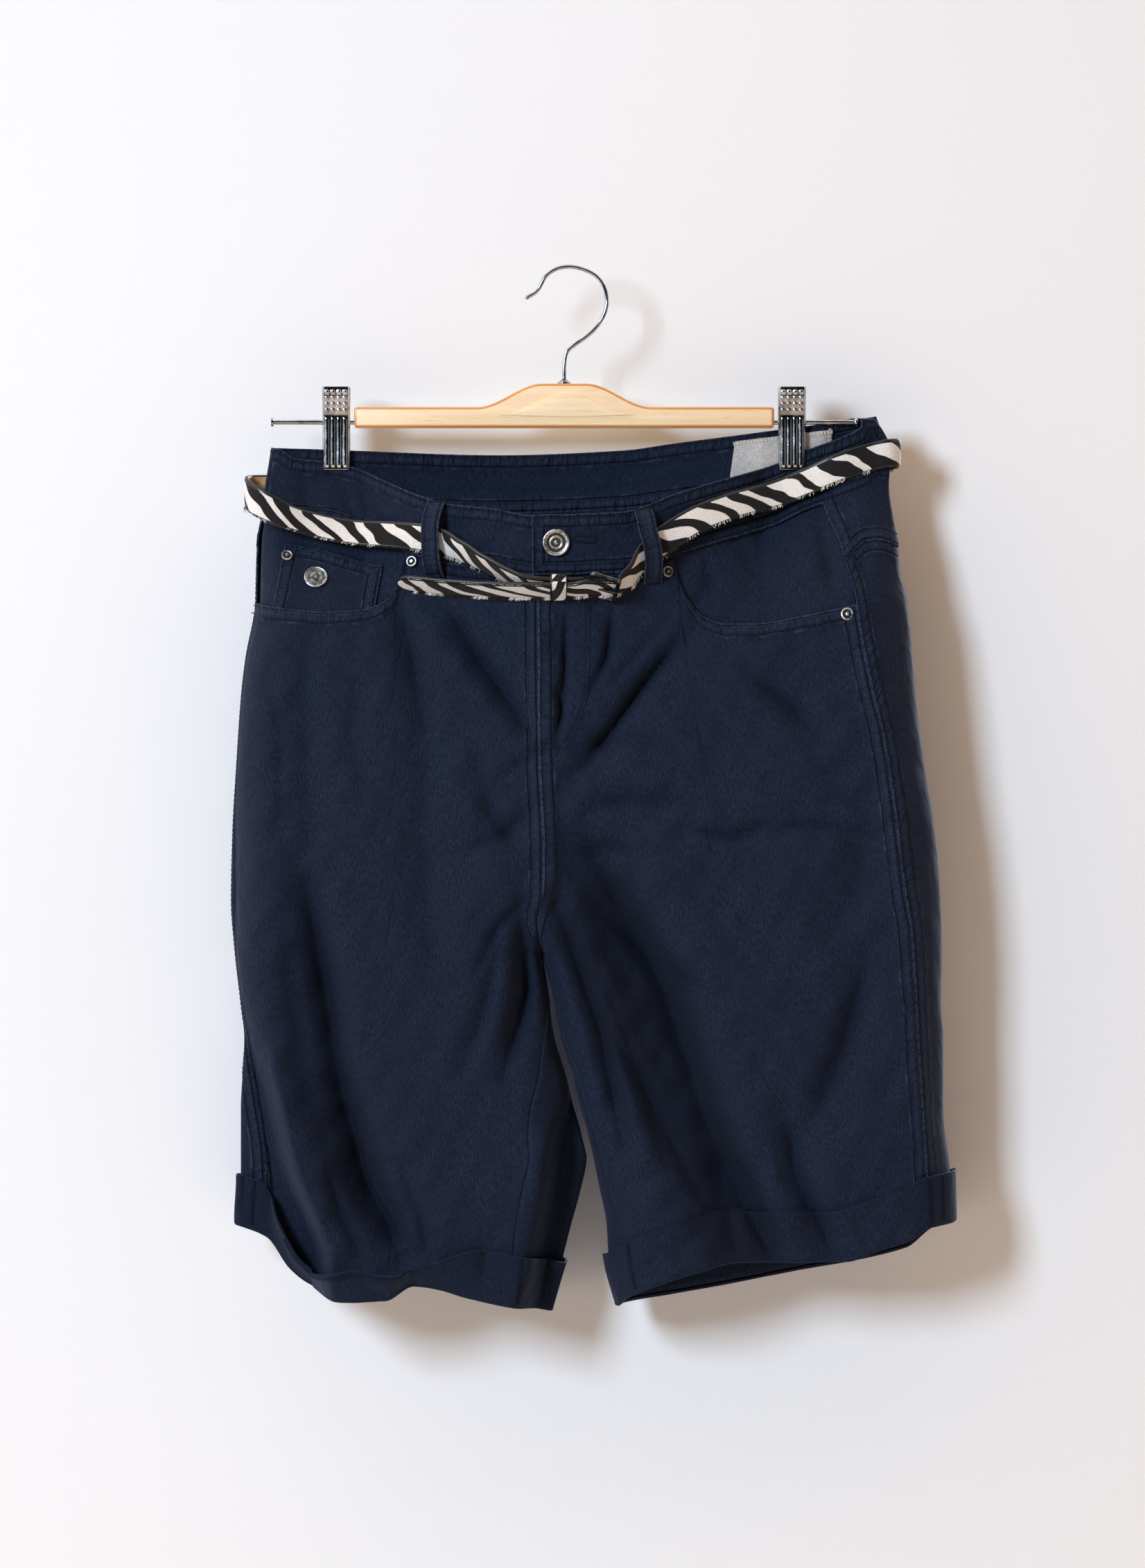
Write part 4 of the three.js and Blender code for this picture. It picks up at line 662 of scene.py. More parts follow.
def coin_cloth():
    """The coin pocket, whose sides lean out as they go down to the scoop."""
    t = np.linspace(0, 1, 42)
    share = np.linspace(0, 1, 56)

    def x_at(z):
        drop = COIN["top"] - z
        start, end = (COIN[name] - drop * COIN[name + "_lean"] for name in ("outer", "inner"))
        return lerp(start, end, share if np.ndim(z) == 1 else share[:, None])

    top = halved(lambda z: coin_top(x_at(z)), np.full(56, -178.0))
    bottom = halved(lambda z: scoop["right"](x_at(z)), np.full(56, -212.0))
    z = lerp(top[:, None], bottom[:, None] - 1, t)
    return raised(Cloth(*surface("right", False, x_at(z), z, COIN_LIFT, 0.5)), ("top", "end"), 0.4, 7)


# Shares of the back's width, heights, the fall of the mouth and the drop of the point
BACK_POCKET = {
    "right": (1 / 15, 7 / 15), "left": (5 / 15, 9 / 15), "top": -207.7, "fall": 12, "bottom": -330, "point": 14,
}


def back_pocket_cloth(side):
    """A patch pocket with a pointed bottom."""
    low, high = BACK_POCKET[side]
    share = np.linspace(low, high, 60)
    top = BACK_POCKET["top"] - BACK_POCKET["fall"] * (share - low) / (high - low)
    from_middle = np.abs(share - (low + high) / 2) / ((high - low) / 2)
    bottom = BACK_POCKET["bottom"] - BACK_POCKET["point"] * (1 - from_middle)
    z = lerp(top[:, None], bottom[:, None], np.linspace(0, 1, 80))
    x, back = place_at_turn(side, back_cut(side, share[:, None], z), z)
    return Cloth(*surface(side, back, x, z, 1.7))


CUFF_COLUMNS = 361
CUFF_ROLL = 8


def cuff_cloth(side):
    """A turned-up cuff with its rolled hem; the right one flops forward and the back one stands."""
    share = np.linspace(0, 1, CUFF_COLUMNS)
    z_low = settled(side, lambda z: leg_cut(side, share, z), leg_bottom, np.full(share.shape, -620.0))
    x_low, back_low = place_at_turn(side, leg_cut(side, share, z_low), z_low)
    high = np.full(share.shape, float(CUFF_HEIGHT))
    if side == "right":
        high = np.where(back_low, high, np.clip(right_cuff_top(x_low) - z_low, 7, CUFF_HEIGHT))
    flop = np.sqrt(CUFF_HEIGHT ** 2 - high ** 2) * FLOP_SHARE
    t = np.linspace(0, 1, 26)
    z = z_low[:, None] + high[:, None] * (1 - t) - t
    x, back = place_at_turn(side, leg_cut(side, share[:, None], z), z)
    loose = 0.9 * (1 - t) ** 2 * (1 + ripple(x * 1.7, z * 0.3, 60))
    points, normals = surface(side, back, x, z, CUFF_LIFT + CUFF_WALL + loose)
    points[..., 1] -= flop[:, None] * (1 - t)
    radius = (CUFF_LIFT + CUFF_WALL + 1.2) / 2
    angle = np.linspace(0, np.pi, CUFF_ROLL + 1)[1:]
    out, down = normals[:, -1:], np.array([0.0, 0.0, -1.0])
    turned = out * np.cos(angle)[:, None] + down * np.sin(angle)[:, None]
    rolled = points[:, -1:] + radius * (turned - out)
    return Cloth(np.concatenate([points, rolled], axis=1), np.concatenate([normals, turned], axis=1), ring=True)


LABEL = {"inner": 104, "outer": 163, "lean": 0.14, "below": 3.6, "height": 23}


def label_cloth():
    share = np.linspace(0, 1, 50)[:, None]
    top = back_top(lerp(LABEL["inner"], LABEL["outer"], share)) - LABEL["below"]
    z = top - LABEL["height"] * np.linspace(0, 1, 24)
    inner = LABEL["inner"] + (z - back_top(LABEL["inner"])) * LABEL["lean"]
    x = lerp(inner, LABEL["outer"], share)
    cloth = Cloth(*surface("left", True, x, z, -(BAND_WALL + 0.9), 0.6))
    return Cloth(cloth.points, -cloth.normals)


LOOP_WIDTH = 11.6
LOOPS = {
    "loop_right_front": (-82, -146.4, -82.6, -194, 10.6, 0.5),
    "loop_left_front": (44.3, -151.5, 51, -197, 10.6, 0.5),
    "loop_left_back": (185, -93.4, 192.6, -139.4, 8.8, 1.7),
    "loop_right_back": (-104, -115, -105, -162, 5, 0.4),
    "loop_centre_back": (-20, -116.5, -20, -164, 5, 0.4),
}


def loop_cloth(name):
    x0, z0, x1, z1, bulge, stand = LOOPS[name]
    t = np.linspace(0, 1, 60)
    x, z = lerp(x0, x1, t), lerp(z0, z1, t)
    side = "left" if x0 > 0 else "right"
    lift = stand + bulge * np.sin(np.pi * np.clip((t - 0.04) / 0.92, 0, 1)) ** 0.6
    run, out = surface(side, name.endswith("back"), x, z, lift, 0.3)
    sideways = unit(np.cross(out, unit(np.array([x1 - x0, 0, z1 - z0]))))
    half = np.linspace(-0.5, 0.5, 15)
    normal = unit(np.cross(np.gradient(run, axis=0), sideways))
    normal *= np.sign((normal * out).sum(axis=1, keepdims=True))
    crown = 0.35 * (1 - (2 * half) ** 4)
    across = half[:, None, None] * LOOP_WIDTH * sideways[None]
    points = run[None] + across + (1.5 + crown)[:, None, None] * normal[None]
    return Cloth(points, np.broadcast_to(normal[None], points.shape).copy())


SINGLE = {"waistband_back": band_back_cloth, "coin_pocket": coin_cloth, "inner_label": label_cloth}
PAIRED = {
    "front": front_cloth, "back": back_cloth, "yoke": yoke_cloth, "waistband": band_front_cloth,
    "pocket_facing": facing_cloth, "back_pocket": back_pocket_cloth, "cuff": cuff_cloth,
}
_cut_pieces = {}


def piece_of(name):
    """The grid of a named piece, cut once."""
    kind, _, side = name.rpartition("_")
    if name not in _cut_pieces:
        if name in LOOPS:
            _cut_pieces[name] = loop_cloth(name)
        elif name in SINGLE:
            _cut_pieces[name] = SINGLE[name]()
        else:
            _cut_pieces[name] = PAIRED[kind](side)
    return _cut_pieces[name]


# Materials

SMOOTH = {"interpolation_type": "SMOOTHSTEP"}
TIMES = {"operation": "MULTIPLY"}
PLUS = {"operation": "ADD"}
COLOUR = {"data_type": "RGBA", "out": 2}


def linear(code):
    """A colour for a shader from its sRGB hex code, or from the setting of that name."""
    if not code.startswith("#"):
        return (*getattr(settings(), code), 1.0)
    parts = [int(code[i:i + 2], 16) / 255 for i in (1, 3, 5)]
    return tuple(c / 12.92 if c <= 0.04045 else ((c + 0.055) / 1.055) ** 2.4 for c in parts) + (1.0,)


def feed(tree, node, inputs):
    """Give a node's inputs values or other nodes' outputs."""
    for key, value in inputs.items():
        if isinstance(value, bpy.types.NodeSocket):
            tree.links.new(value, node.inputs[key])
        else:
            node.inputs[key].default_value = value


def add(tree, kind, inputs=(), out=0, stops=(), **settings):
    """Add a shader node with its settings, and give one of its outputs. Its inputs stand in order
    or by name; a colour ramp takes stops."""
    node = tree.nodes.new("ShaderNode" + kind)
    for key, value in settings.items():
        setattr(node, key, value)
    feed(tree, node, inputs if isinstance(inputs, dict) else dict(enumerate(inputs)))
    for element, (place, code) in zip(node.color_ramp.elements if stops else (), stops):
        element.position, element.color = place, linear(code)
    return node.outputs[out]


def material(name, layer, grains, roughness, metallic=0.0, **inputs):
    """A material with its tree, its shader, the coordinates it is drawn on (a layer of the piece, or
    the object's own) and its grains: noises by repeats in a metre, detail, roughness and turn."""
    made = bpy.data.materials.new(name)
    made.use_nodes = True
    tree = made.node_tree
    shader = tree.nodes["Principled BSDF"]
    feed(tree, shader, {"Roughness": roughness, "Metallic": metallic, **inputs})
    spot = add(tree, "UVMap", uv_map=layer) if layer else add(tree, "TexCoord", out="Object")
    noises = []
    for repeats, detail, rough, *turn in grains:
        scale = repeats if isinstance(repeats, tuple) else (repeats,) * 3
        placed = add(tree, "Mapping", {"Vector": spot, "Scale": scale, "Rotation": (0, 0, *(turn or [0]))})
        values = {"Vector": placed, "Scale": 1.0, "Detail": detail, "Roughness": rough}
        noises.append(add(tree, "TexNoise", values))
    return made, tree, shader, spot, noises


def twill(name, deep, dark, mid, light, wear):
    """Stretch cotton twill: a steep diagonal with short broken flecks, a soft bloom at a glance, paler
    threads where seams and turned edges wear, a painted highlight along those edges, and painted shade
    in the stitch grooves, in the hollows of the folds and on the cuffs.
    The real diagonal is 0.5 mm, drawn at 0.9 mm."""
    made, tree, shader, _, (diagonal, flecks, wash, blotch, along, around) = material(
        name, "flat", (
            ((1150, 260, 1), 1.0, 0.4, math.radians(62)), ((900, 420, 1), 2.0, 0.7), (16, 3.0, 0.6),
            (90, 3.0, 0.6), ((70, 240, 1), 2.0, 0.6), ((240, 70, 1), 2.0, 0.6),
        ), 0.86, **{"Sheen Weight": 0.1, "Sheen Roughness": 0.42, "Specular IOR Level": 0.12,
                    "Sheen Tint": linear("#9fb0d2")})
    gaps = add(tree, "SeparateXYZ", (add(tree, "UVMap", uv_map="seam"),)).node.outputs
    nearest = add(tree, "Math", (gaps["X"], gaps["Y"]), operation="MINIMUM")

    def strip(place, low, high, most):
        """A strip along a seam, at a distance from it."""
        off = add(tree, "Math", (nearest, place), operation="SUBTRACT")
        off = add(tree, "Math", (off,), operation="ABSOLUTE")
        return add(tree, "MapRange", (off, low, high, most, 0.0), **SMOOTH)

    halves = [add(tree, "Math", (grain, 0.5), **TIMES) for grain in (diagonal, flecks)]
    weave = add(tree, "Math", halves, **PLUS)
    cloth = add(tree, "ValToRGB", (weave,), stops=((0.34, dark), (0.66, light)))
    patches = add(tree, "Math", (wash, blotch), **PLUS)
    faded = add(tree, "MapRange", (patches, 0.8, 1.25, 0.0, 0.5), **SMOOTH)
    cloth = add(tree, "Mix", {0: faded, 6: cloth, 7: linear(mid)}, **COLOUR)
    # Paler colour along the topstitched edges: real edge wear, and a painted highlight standing for their lit
    # rim
    turned_edge = add(tree, "MapRange", (nearest, 0.0003, 0.0017, 1.0, 0.0), **SMOOTH)
    broken = add(tree, "MapRange", (flecks, 0.35, 0.6, 0.0, 1.0), **SMOOTH)
    edge_wear_and_rim_highlight = add(tree, "Math", (turned_edge, broken), **TIMES)
    edge_wear_and_rim_highlight = add(tree, "Math", (edge_wear_and_rim_highlight, 0.5), **TIMES)
    patches = add(tree, "MapRange", (blotch, 0.5, 0.68, 0.0, 0.3), **SMOOTH)
    ridge = add(tree, "Math", (strip(0.0088, 0.0002, 0.0016, 1.0), patches), **TIMES)
    seam_wear_and_rim_highlight = add(tree, "Math", (edge_wear_and_rim_highlight, ridge), operation="MAXIMUM")
    seam_wear_and_rim_highlight = add(tree, "Math", (seam_wear_and_rim_highlight, strip(0.0045, 0.0002, 0.0022, 0.08)), operation="MAXIMUM")
    cloth = add(tree, "Mix", {0: seam_wear_and_rim_highlight, 6: cloth, 7: linear(wear)}, **COLOUR)
    grooves = [strip(place, 0.0, 0.001, 1.0) for place in (0.0016, 0.0078)]
    grooves = add(tree, "Math", grooves, **PLUS)
    # Painted shade: the colour darkens toward the weave's dark colour in the two stitch grooves
    shade = add(tree, "Math", (grooves, 0.42), **TIMES)
    cloth = add(tree, "Mix", {0: shade, 6: cloth, 7: linear(dark)}, **COLOUR)
    # Painted shade: the colour darkens toward the deepest colour where the fold layer is deep, in folds and on
    # cuffs
    hollow = add(tree, "SeparateXYZ", (add(tree, "UVMap", uv_map="fold"),), "X")
    hollow = add(tree, "MapRange", (hollow, 0.0003, 0.011, 0.0, 0.62), **SMOOTH)
    cloth = add(tree, "Mix", {0: hollow, 6: cloth, 7: linear(deep)}, **COLOUR)
    near = [add(tree, "MapRange", (gaps[way], 0.001, 0.014, 1.0, 0.0), **SMOOTH) for way in "XY"]
    puckers = [add(tree, "Math", pair, **TIMES) for pair in ((along, near[0]), (around, near[1]))]
    pucker = add(tree, "Math", puckers, **PLUS)
    relief = [add(tree, "Math", pair, **TIMES) for pair in ((pucker, 2.4), (grooves, 0.6))]
    relief = add(tree, "Math", relief, operation="SUBTRACT")
    swell = [add(tree, "Math", pair, **TIMES) for pair in ((blotch, 0.5), (wash, 3.0))]
    swell = add(tree, "Math", swell, **PLUS)
    bump = add(tree, "Bump", {"Height": relief, "Distance": 0.0024, "Strength": 1.0})
    bump = add(tree, "Bump", {"Height": swell, "Distance": 0.0018, "Strength": 0.8, "Normal": bump})
    bump = add(tree, "Bump", {"Height": weave, "Distance": 0.00016, "Strength": 0.7, "Normal": bump})
    feed(tree, shader, {"Base Color": cloth, "Normal": bump})
    return made


def striped_hide(name, pale, dark):
    """Short-haired hide with an animal stripe: dull white hair lying along the strap, brown-black
    stripes that lean one way, thick and thin by turns, with soft hair edges."""
    made, tree, shader, flat, (bend, sway, hair) = material(
        name, "flat", (((17, 34, 1), 2.0, 0.5), ((6, 5, 1), 1.0, 0.5), ((500, 1900, 1), 2.0, 0.7)),
        0.8, **{"Sheen Weight": 0.08, "Specular IOR Level": 0.25})
    place = add(tree, "SeparateXYZ", (flat,)).node.outputs
    slope = add(tree, "MapRange", (sway, 0.35, 0.65, -38, -84))
    phase = add(tree, "Math", (place["X"], 47), **TIMES)
    for socket, amount in ((place["Y"], slope), (bend, 1.9)):
        step = add(tree, "Math", (socket, amount), **TIMES)
        phase = add(tree, "Math", (phase, step), **PLUS)
    waves = []
    for turns in (2, 0.61):
        angle = add(tree, "Math", (phase, turns * math.pi), **TIMES)
        waves.append(add(tree, "Math", (angle,), operation="SINE"))
    field = waves[0]
    for socket, amount in ((waves[1], 0.62), (hair, 0.3)):
        part = add(tree, "Math", (socket, amount), **TIMES)
        field = add(tree, "Math", (field, part), **PLUS)
    mask = add(tree, "MapRange", (field, 0.1, 0.26, 0.0, 1.0), **SMOOTH)
    white = add(tree, "ValToRGB", (hair,), stops=((0.25, "#c4c4c2"), (0.7, pale)))
    black = add(tree, "ValToRGB", (hair,), stops=((0.3, "#060505"), (0.8, dark)))
    colour = add(tree, "Mix", {0: mask, 6: white, 7: black}, **COLOUR)
    bump = add(tree, "Bump", {"Height": hair, "Distance": 0.0004, "Strength": 0.8})
    feed(tree, shader, {"Base Color": colour, "Normal": bump})
    return made


def leather(name, dark, light, roughness, scale, depth):
    """Leather: a pebbled grain with darker valleys and a slightly waxy surface."""
    made, tree, shader, spot, (tone,) = material(name, None, ((scale / 6, 3.0, 0.6),), roughness)
    grain = add(tree, "TexVoronoi", {"Vector": spot, "Scale": scale}, "Distance", feature="SMOOTH_F1")
    colour = add(tree, "ValToRGB", (tone,), stops=((0.35, dark), (0.7, light)))
    bump = add(tree, "Bump", {"Height": grain, "Distance": depth, "Strength": 0.6})
    feed(tree, shader, {"Base Color": colour, "Normal": bump})
    return made


def metal(name, dark, light, roughness, scale, depth, smudge):
    """Plated metal: bright where it is polished, fine wear scratches, and smudges in the gloss."""
    made, tree, shader, _, (wear, scratch) = material(
        name, None, ((scale, 4.0, 0.65), ((scale * 14, scale * 2, scale * 3), 2.0, 0.7, 0.6)), roughness, 1.0)
    marks = add(tree, "Math", (wear, scratch), **PLUS)
    gloss = add(tree, "MapRange", (marks, 0.75, 1.3, roughness, roughness + smudge), **SMOOTH)
    colour = add(tree, "ValToRGB", (wear,), stops=((0.3, dark), (0.62, light)))
    bump = add(tree, "Bump", {"Height": marks, "Distance": depth, "Strength": 0.5})
    feed(tree, shader, {"Base Color": colour, "Roughness": gloss, "Normal": bump})
    return made


def wood(name, dark, light, vein, coat):
    """Pale close-grained wood under clear lacquer: long faint veins and short pores along the bar."""
    made, tree, shader, _, (veins, pores) = material(
        name, None, (((9, 130, 190), 3.0, 0.6), ((70, 1300, 1300), 2.0, 0.7)),
        0.42, **{"Coat Weight": coat, "Coat Roughness": 0.2})
    body = add(tree, "ValToRGB", (veins,), stops=((0.33, dark), (0.66, light)))
    marks = add(tree, "MapRange", (pores, 0.56, 0.72, 0.0, 0.5), **SMOOTH)
    colour = add(tree, "Mix", {0: marks, 6: body, 7: linear(vein)}, **COLOUR)
    bump = add(tree, "Bump", {"Height": pores, "Distance": 0.00012, "Strength": 0.5})
    feed(tree, shader, {"Base Color": colour, "Normal": bump})
    return made


def thread(name, dark, light):
    """Spun thread: two plies twisted, a touch glossier than the cloth it sews."""
    made, tree, shader, _, (plies,) = material(
        name, None, ((2600, 1.0, 0.5),), 0.7, **{"Specular IOR Level": 0.1})
    colour = add(tree, "ValToRGB", (plies,), stops=((0.35, dark), (0.65, light)))
    bump = add(tree, "Bump", {"Height": plies, "Distance": 0.0001, "Strength": 0.6})
    feed(tree, shader, {"Base Color": colour, "Normal": bump})
    return made


def tape_weave(name, dark, light):
    """Woven label tape: fine square weave, off-white, slightly glossy weft."""
    made, tree, shader, _, yarns = material(
        name, "flat", (((1500, 300, 1), 1.0, 0.5), ((250, 1700, 1), 1.0, 0.5)), 0.55, **{"Sheen Weight": 0.2})
    weave = add(tree, "Math", (add(tree, "Math", yarns, **PLUS), 0.5), **TIMES)
    colour = add(tree, "ValToRGB", (weave,), stops=((0.38, dark), (0.6, light)))
    bump = add(tree, "Bump", {"Height": weave, "Distance": 0.0002, "Strength": 0.6})
    feed(tree, shader, {"Base Color": colour, "Normal": bump})
    return made


def plaster(name, tone, darker):
    """A matt painted wall or floor, nearly even. Its far side is see-through, for light as well,
    so that it never hides the object from behind or below."""
    made, tree, shader, _, (cloud,) = material(name, None, ((3, 3.0, 0.5),), 0.95)
    behind = (add(tree, "NewGeometry", out="Backfacing"), add(tree, "LightPath", out="Is Shadow Ray"))
    clear = add(tree, "Math", behind, operation="MAXIMUM")
    feed(tree, shader, {
        "Base Color": add(tree, "ValToRGB", (cloud,), stops=((0.0, darker), (1.0, tone))),
        "Alpha": add(tree, "Math", (1.0, clear), operation="SUBTRACT"),
    })
    return made


FINISHES = {
    # The twill's first colour is painted shade in folds and cuffs, the second also paints shade in the stitch
    # grooves, and the last is for edge wear with a painted highlight
    "twill": (twill, "navy_twill", "#060a13", "#0a111d", "#141d2f", "cloth_colour", "#475673"),
    "striped_hide": (striped_hide, "striped_hide", "hide_pale", "hide_dark"),
    "edge_paint": (leather, "black_edge_paint", "#0a0a0a", "#191716", 0.38, 900, 0.00012),
    "lining": (leather, "tan_lining", "#9a7650", "#c39c70", 0.62, 1300, 0.0002),
    "gunmetal": (metal, "gunmetal_plate", "#2f2d2b", "#6a6763", 0.22, 160, 0.00004, 0.16),
    "nickel": (metal, "worn_nickel", "#6c6862", "#cdc9c1", 0.24, 420, 0.00008, 0.2),
    "chrome": (metal, "bright_chrome", "#808286", "#c8c9cb", 0.07, 90, 0.00001, 0.07),
    "recess": (leather, "dark_recess", "#0c0b0b", "#242220", 0.6, 1500, 0.0001),
    "wood": (wood, "lacquered_pale_wood", "#edd3a6", "wood_colour", "#d8ae74", 0.35),
    "chamfer": (wood, "cut_wood_edge", "#c4803a", "#d99c54", "#a0622a", 0.35),
    "pale_wood": (wood, "sanded_wood_inlay", "#eed5a8", "#f8e8c8", "#dcb878", 0.15),
    "thread": (thread, "navy_thread", "#0a101c", "#1b2538"),
    "pale_thread": (thread, "ecru_thread", "#b9b3a6", "#e8e3d8"),
    "tape": (tape_weave, "label_tape", "#9c9a97", "#bdbbb8"),
}
_made = {}


def finish_of(name):
    """The material of a named finish, made once."""
    if name not in _made:
        maker, *values = FINISHES[name]
        _made[name] = maker(*values)
    return _made[name]


# Objects

def put(mesh, materials, smooth_angle=None):
    """An object of the scene from a finished mesh, at the origin."""
    obj = bpy.data.objects.new(mesh.name, mesh)
    bpy.context.scene.collection.objects.link(obj)
    for name in materials:
        mesh.materials.append(finish_of(name))
    mesh.polygons.foreach_set("use_smooth", np.ones(len(mesh.polygons), bool))
    if smooth_angle is not None:
        mesh.set_sharp_from_angle(angle=math.radians(smooth_angle))
    return obj


def meshed(bm, name):
    """A new mesh of a finished bmesh."""
    mesh = bpy.data.meshes.new(name)
    bm.to_mesh(mesh)
    bm.free()
    return mesh


def modify(obj, kind, **settings):
    modifier = obj.modifiers.new(kind.title(), kind)
    for key, value in settings.items():
        setattr(modifier, key, value)


def laid_out(name, points, normals, materials, flat, seam=None, ring=False, faces=None, fold=None):
    """A mesh on a grid of points, with its cloth coordinates and its distances from sewn edges."""
    columns, lines = points.shape[:2]
    bm = bmesh.new()
    bmesh.ops.create_grid(bm, x_segments=columns - 1, y_segments=lines - 1, size=0.5)
    mesh = meshed(bm, name)
    spots = np.empty(len(mesh.vertices) * 3)
    mesh.vertices.foreach_get("co", spots)
    spots = spots.reshape(-1, 3) + 0.5
    i = np.rint(spots[:, 0] * (columns - 1)).astype(int)
    j = np.rint(spots[:, 1] * (lines - 1)).astype(int)
    mesh.vertices.foreach_set("co", (points[i, j] * MM).ravel())
    corner = np.empty(len(mesh.loops), np.int32)
    mesh.loops.foreach_get("vertex_index", corner)
    for key, grid in (("flat", flat), ("seam", seam), ("fold", fold)):
        if grid is not None:
            places = (grid[i, j][corner] * MM).astype(np.float32).ravel()
            mesh.uv_layers.new(name=key).data.foreach_set("uv", places)
    if faces is not None:
        first = np.empty(len(mesh.polygons), np.int32)
        mesh.polygons.foreach_get("loop_start", first)
        corners = corner[first[:, None] + np.arange(4)]
        mesh.polygons.foreach_set("material_index", faces[j[corners].min(axis=1)].astype(np.int32))
    mesh.update()
    middle = (columns // 2, lines // 2)
    a = points[middle[0] + 1, middle[1]] - points[middle]
    b = points[middle[0], middle[1] + 1] - points[middle]
    if np.dot(np.cross(a, b), normals[middle]) < 0:
        mesh.flip_normals()
    if ring:
        bm = bmesh.new()
        bm.from_mesh(mesh)
        bmesh.ops.remove_doubles(bm, verts=bm.verts, dist=0.00002)
        bm.to_mesh(mesh)
        bm.free()
    return put(mesh, materials)


def flat_coordinates(cloth):
    middle = cloth.across.shape[0] // 2
    return np.stack([cloth.across - cloth.across[middle], -cloth.down], axis=-1)


def seam_distances(cloth, edges):
    """Distances from the topstitched edges; one with a dash is left plain below the crotch."""
    far = np.full(cloth.across.shape, 100.0)
    sides = []
    for edge in edges:
        if edge.strip("-") in ("start", "end"):
            gap = cloth.gap(edge.strip("-"))
            plain = edge.startswith("-") & (cloth.points[..., 2] < CROTCH_Z + 6)
            sides.append(np.where(plain, far, gap))
    ends = [cloth.gap(edge) for edge in edges if edge in ("top", "bottom")]
    return np.stack([np.min([far, *sides], axis=0), np.min([far, *ends], axis=0)], axis=-1)


# Painted shade in the cloth's colour: shares of the folds' depths, in millimetres, and an amount for
# turned-over cuffs
PAINTED_SHADE = {"fold": 0.8, "crease": 1.7, "back": 2, "turned_over": 3.5}


def fold_depths(cloth, turned_over):
    """Depths that darken the cloth's colour as painted shade: how deep it lies in a fold, and more on a
    turned-over cuff.
    """
    x, z = cloth.points[..., 0], cloth.points[..., 2]
    front = sunk(FOLDS, x, z, FOLD_CORE) * PAINTED_SHADE["fold"] + sunk(CREASES, x, z, FOLD_CORE) * PAINTED_SHADE["crease"]
    back = PAINTED_SHADE["back"] * sunk(BACK_CREASES, x, z, BACK_CORE)
    deep = np.where(cloth.normals[..., 1] < 0, front, back) + PAINTED_SHADE["turned_over"] * turned_over
    return np.stack([deep, np.zeros(deep.shape)], axis=-1)


def sewn(name, edges, thick, slot="twill", finish="twill", soft=0.0):
    """A piece of cloth of the garment in its place; its cut size and area are worked out but not used."""
    cloth = piece_of(name)
    obj = laid_out(
        name + "_cloth", cloth.points, cloth.normals, [finish], flat_coordinates(cloth),
        seam_distances(cloth, edges), cloth.ring, fold=fold_depths(cloth, name.startswith("cuff")),
    )
    modify(obj, "SOLIDIFY", thickness=thick * MM, offset=-1)
    if soft:
        modify(obj, "BEVEL", width=soft * MM, segments=2, limit_method="ANGLE", angle_limit=math.radians(50))
    width, length = cloth.flat()
    min(max(cloth.area(), 0.31 * width * length), width * length)
    keep(obj, slot, name)


def keep(obj, slot, *nodes):
    """Ride on the body and stand for the nodes of the same form, which are hidden; the slot is not used."""
    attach(obj, "root")
    for node in nodes:
        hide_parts(node)


def unit(vector):
    return vector / np.linalg.norm(vector, axis=-1, keepdims=True)


def running(path):
    """Length along a path at each of its points."""
    return np.concatenate([[0], np.cumsum(np.linalg.norm(np.diff(path, axis=0), axis=1))])


def picked(grid, at, run):
    """Rows of a grid at lengths along it."""
    return np.column_stack([np.interp(at, run, grid[:, axis]) for axis in range(3)])


def swept(name, centres, wide, high, section, materials, closed=False, faces=None):
    """A section (pairs of sizes along wide and high, closed) carried along centres in their frames."""
    loop = np.broadcast_to(section, (len(centres),) + section.shape[-2:])
    loop = np.concatenate([loop, loop[:, :1]], axis=1)
    if closed:
        centres, wide, high = (np.vstack([grid, grid[:1]]) for grid in (centres, wide, high))
        loop = np.concatenate([loop, loop[:1]])
    points = centres[:, None] + loop[..., :1] * wide[:, None] + loop[..., 1:] * high[:, None]
    flat = np.stack(np.broadcast_arrays(running(centres)[:, None], loop[..., 0]), axis=-1)
    middle = points.mean(axis=1, keepdims=True)
    obj = laid_out(name, points, points - middle, materials, flat, ring=True, faces=faces)
    if not closed:
        bm = bmesh.new()
        bm.from_mesh(obj.data)
        bmesh.ops.holes_fill(bm, edges=[e for e in bm.edges if e.is_boundary])
        bmesh.ops.recalc_face_normals(bm, faces=bm.faces)
        bm.to_mesh(obj.data)
        bm.free()
    return obj


def rounded(half_a, half_b, radius, count=5):
    """Points of a rectangle with round corners, counter-clockwise."""
    points = []
    for turn, (sa, sb) in enumerate(((1, 1), (-1, 1), (-1, -1), (1, -1))):
        for k in range(count):
            angle = math.pi / 2 * (turn + k / (count - 1))
            points.append((sa * (half_a - radius) + radius * math.cos(angle),
                           sb * (half_b - radius) + radius * math.sin(angle)))
    return np.array(points)


def dense(path, step):
    """A closed or open polyline with points at most a step apart."""
    out = [path[0]]
    for a, b in zip(path, path[1:]):
        count = max(1, math.ceil(np.linalg.norm(b - a) / step))
        out.extend(a + (b - a) * (k + 1) / count for k in range(count))
    return np.array(out)


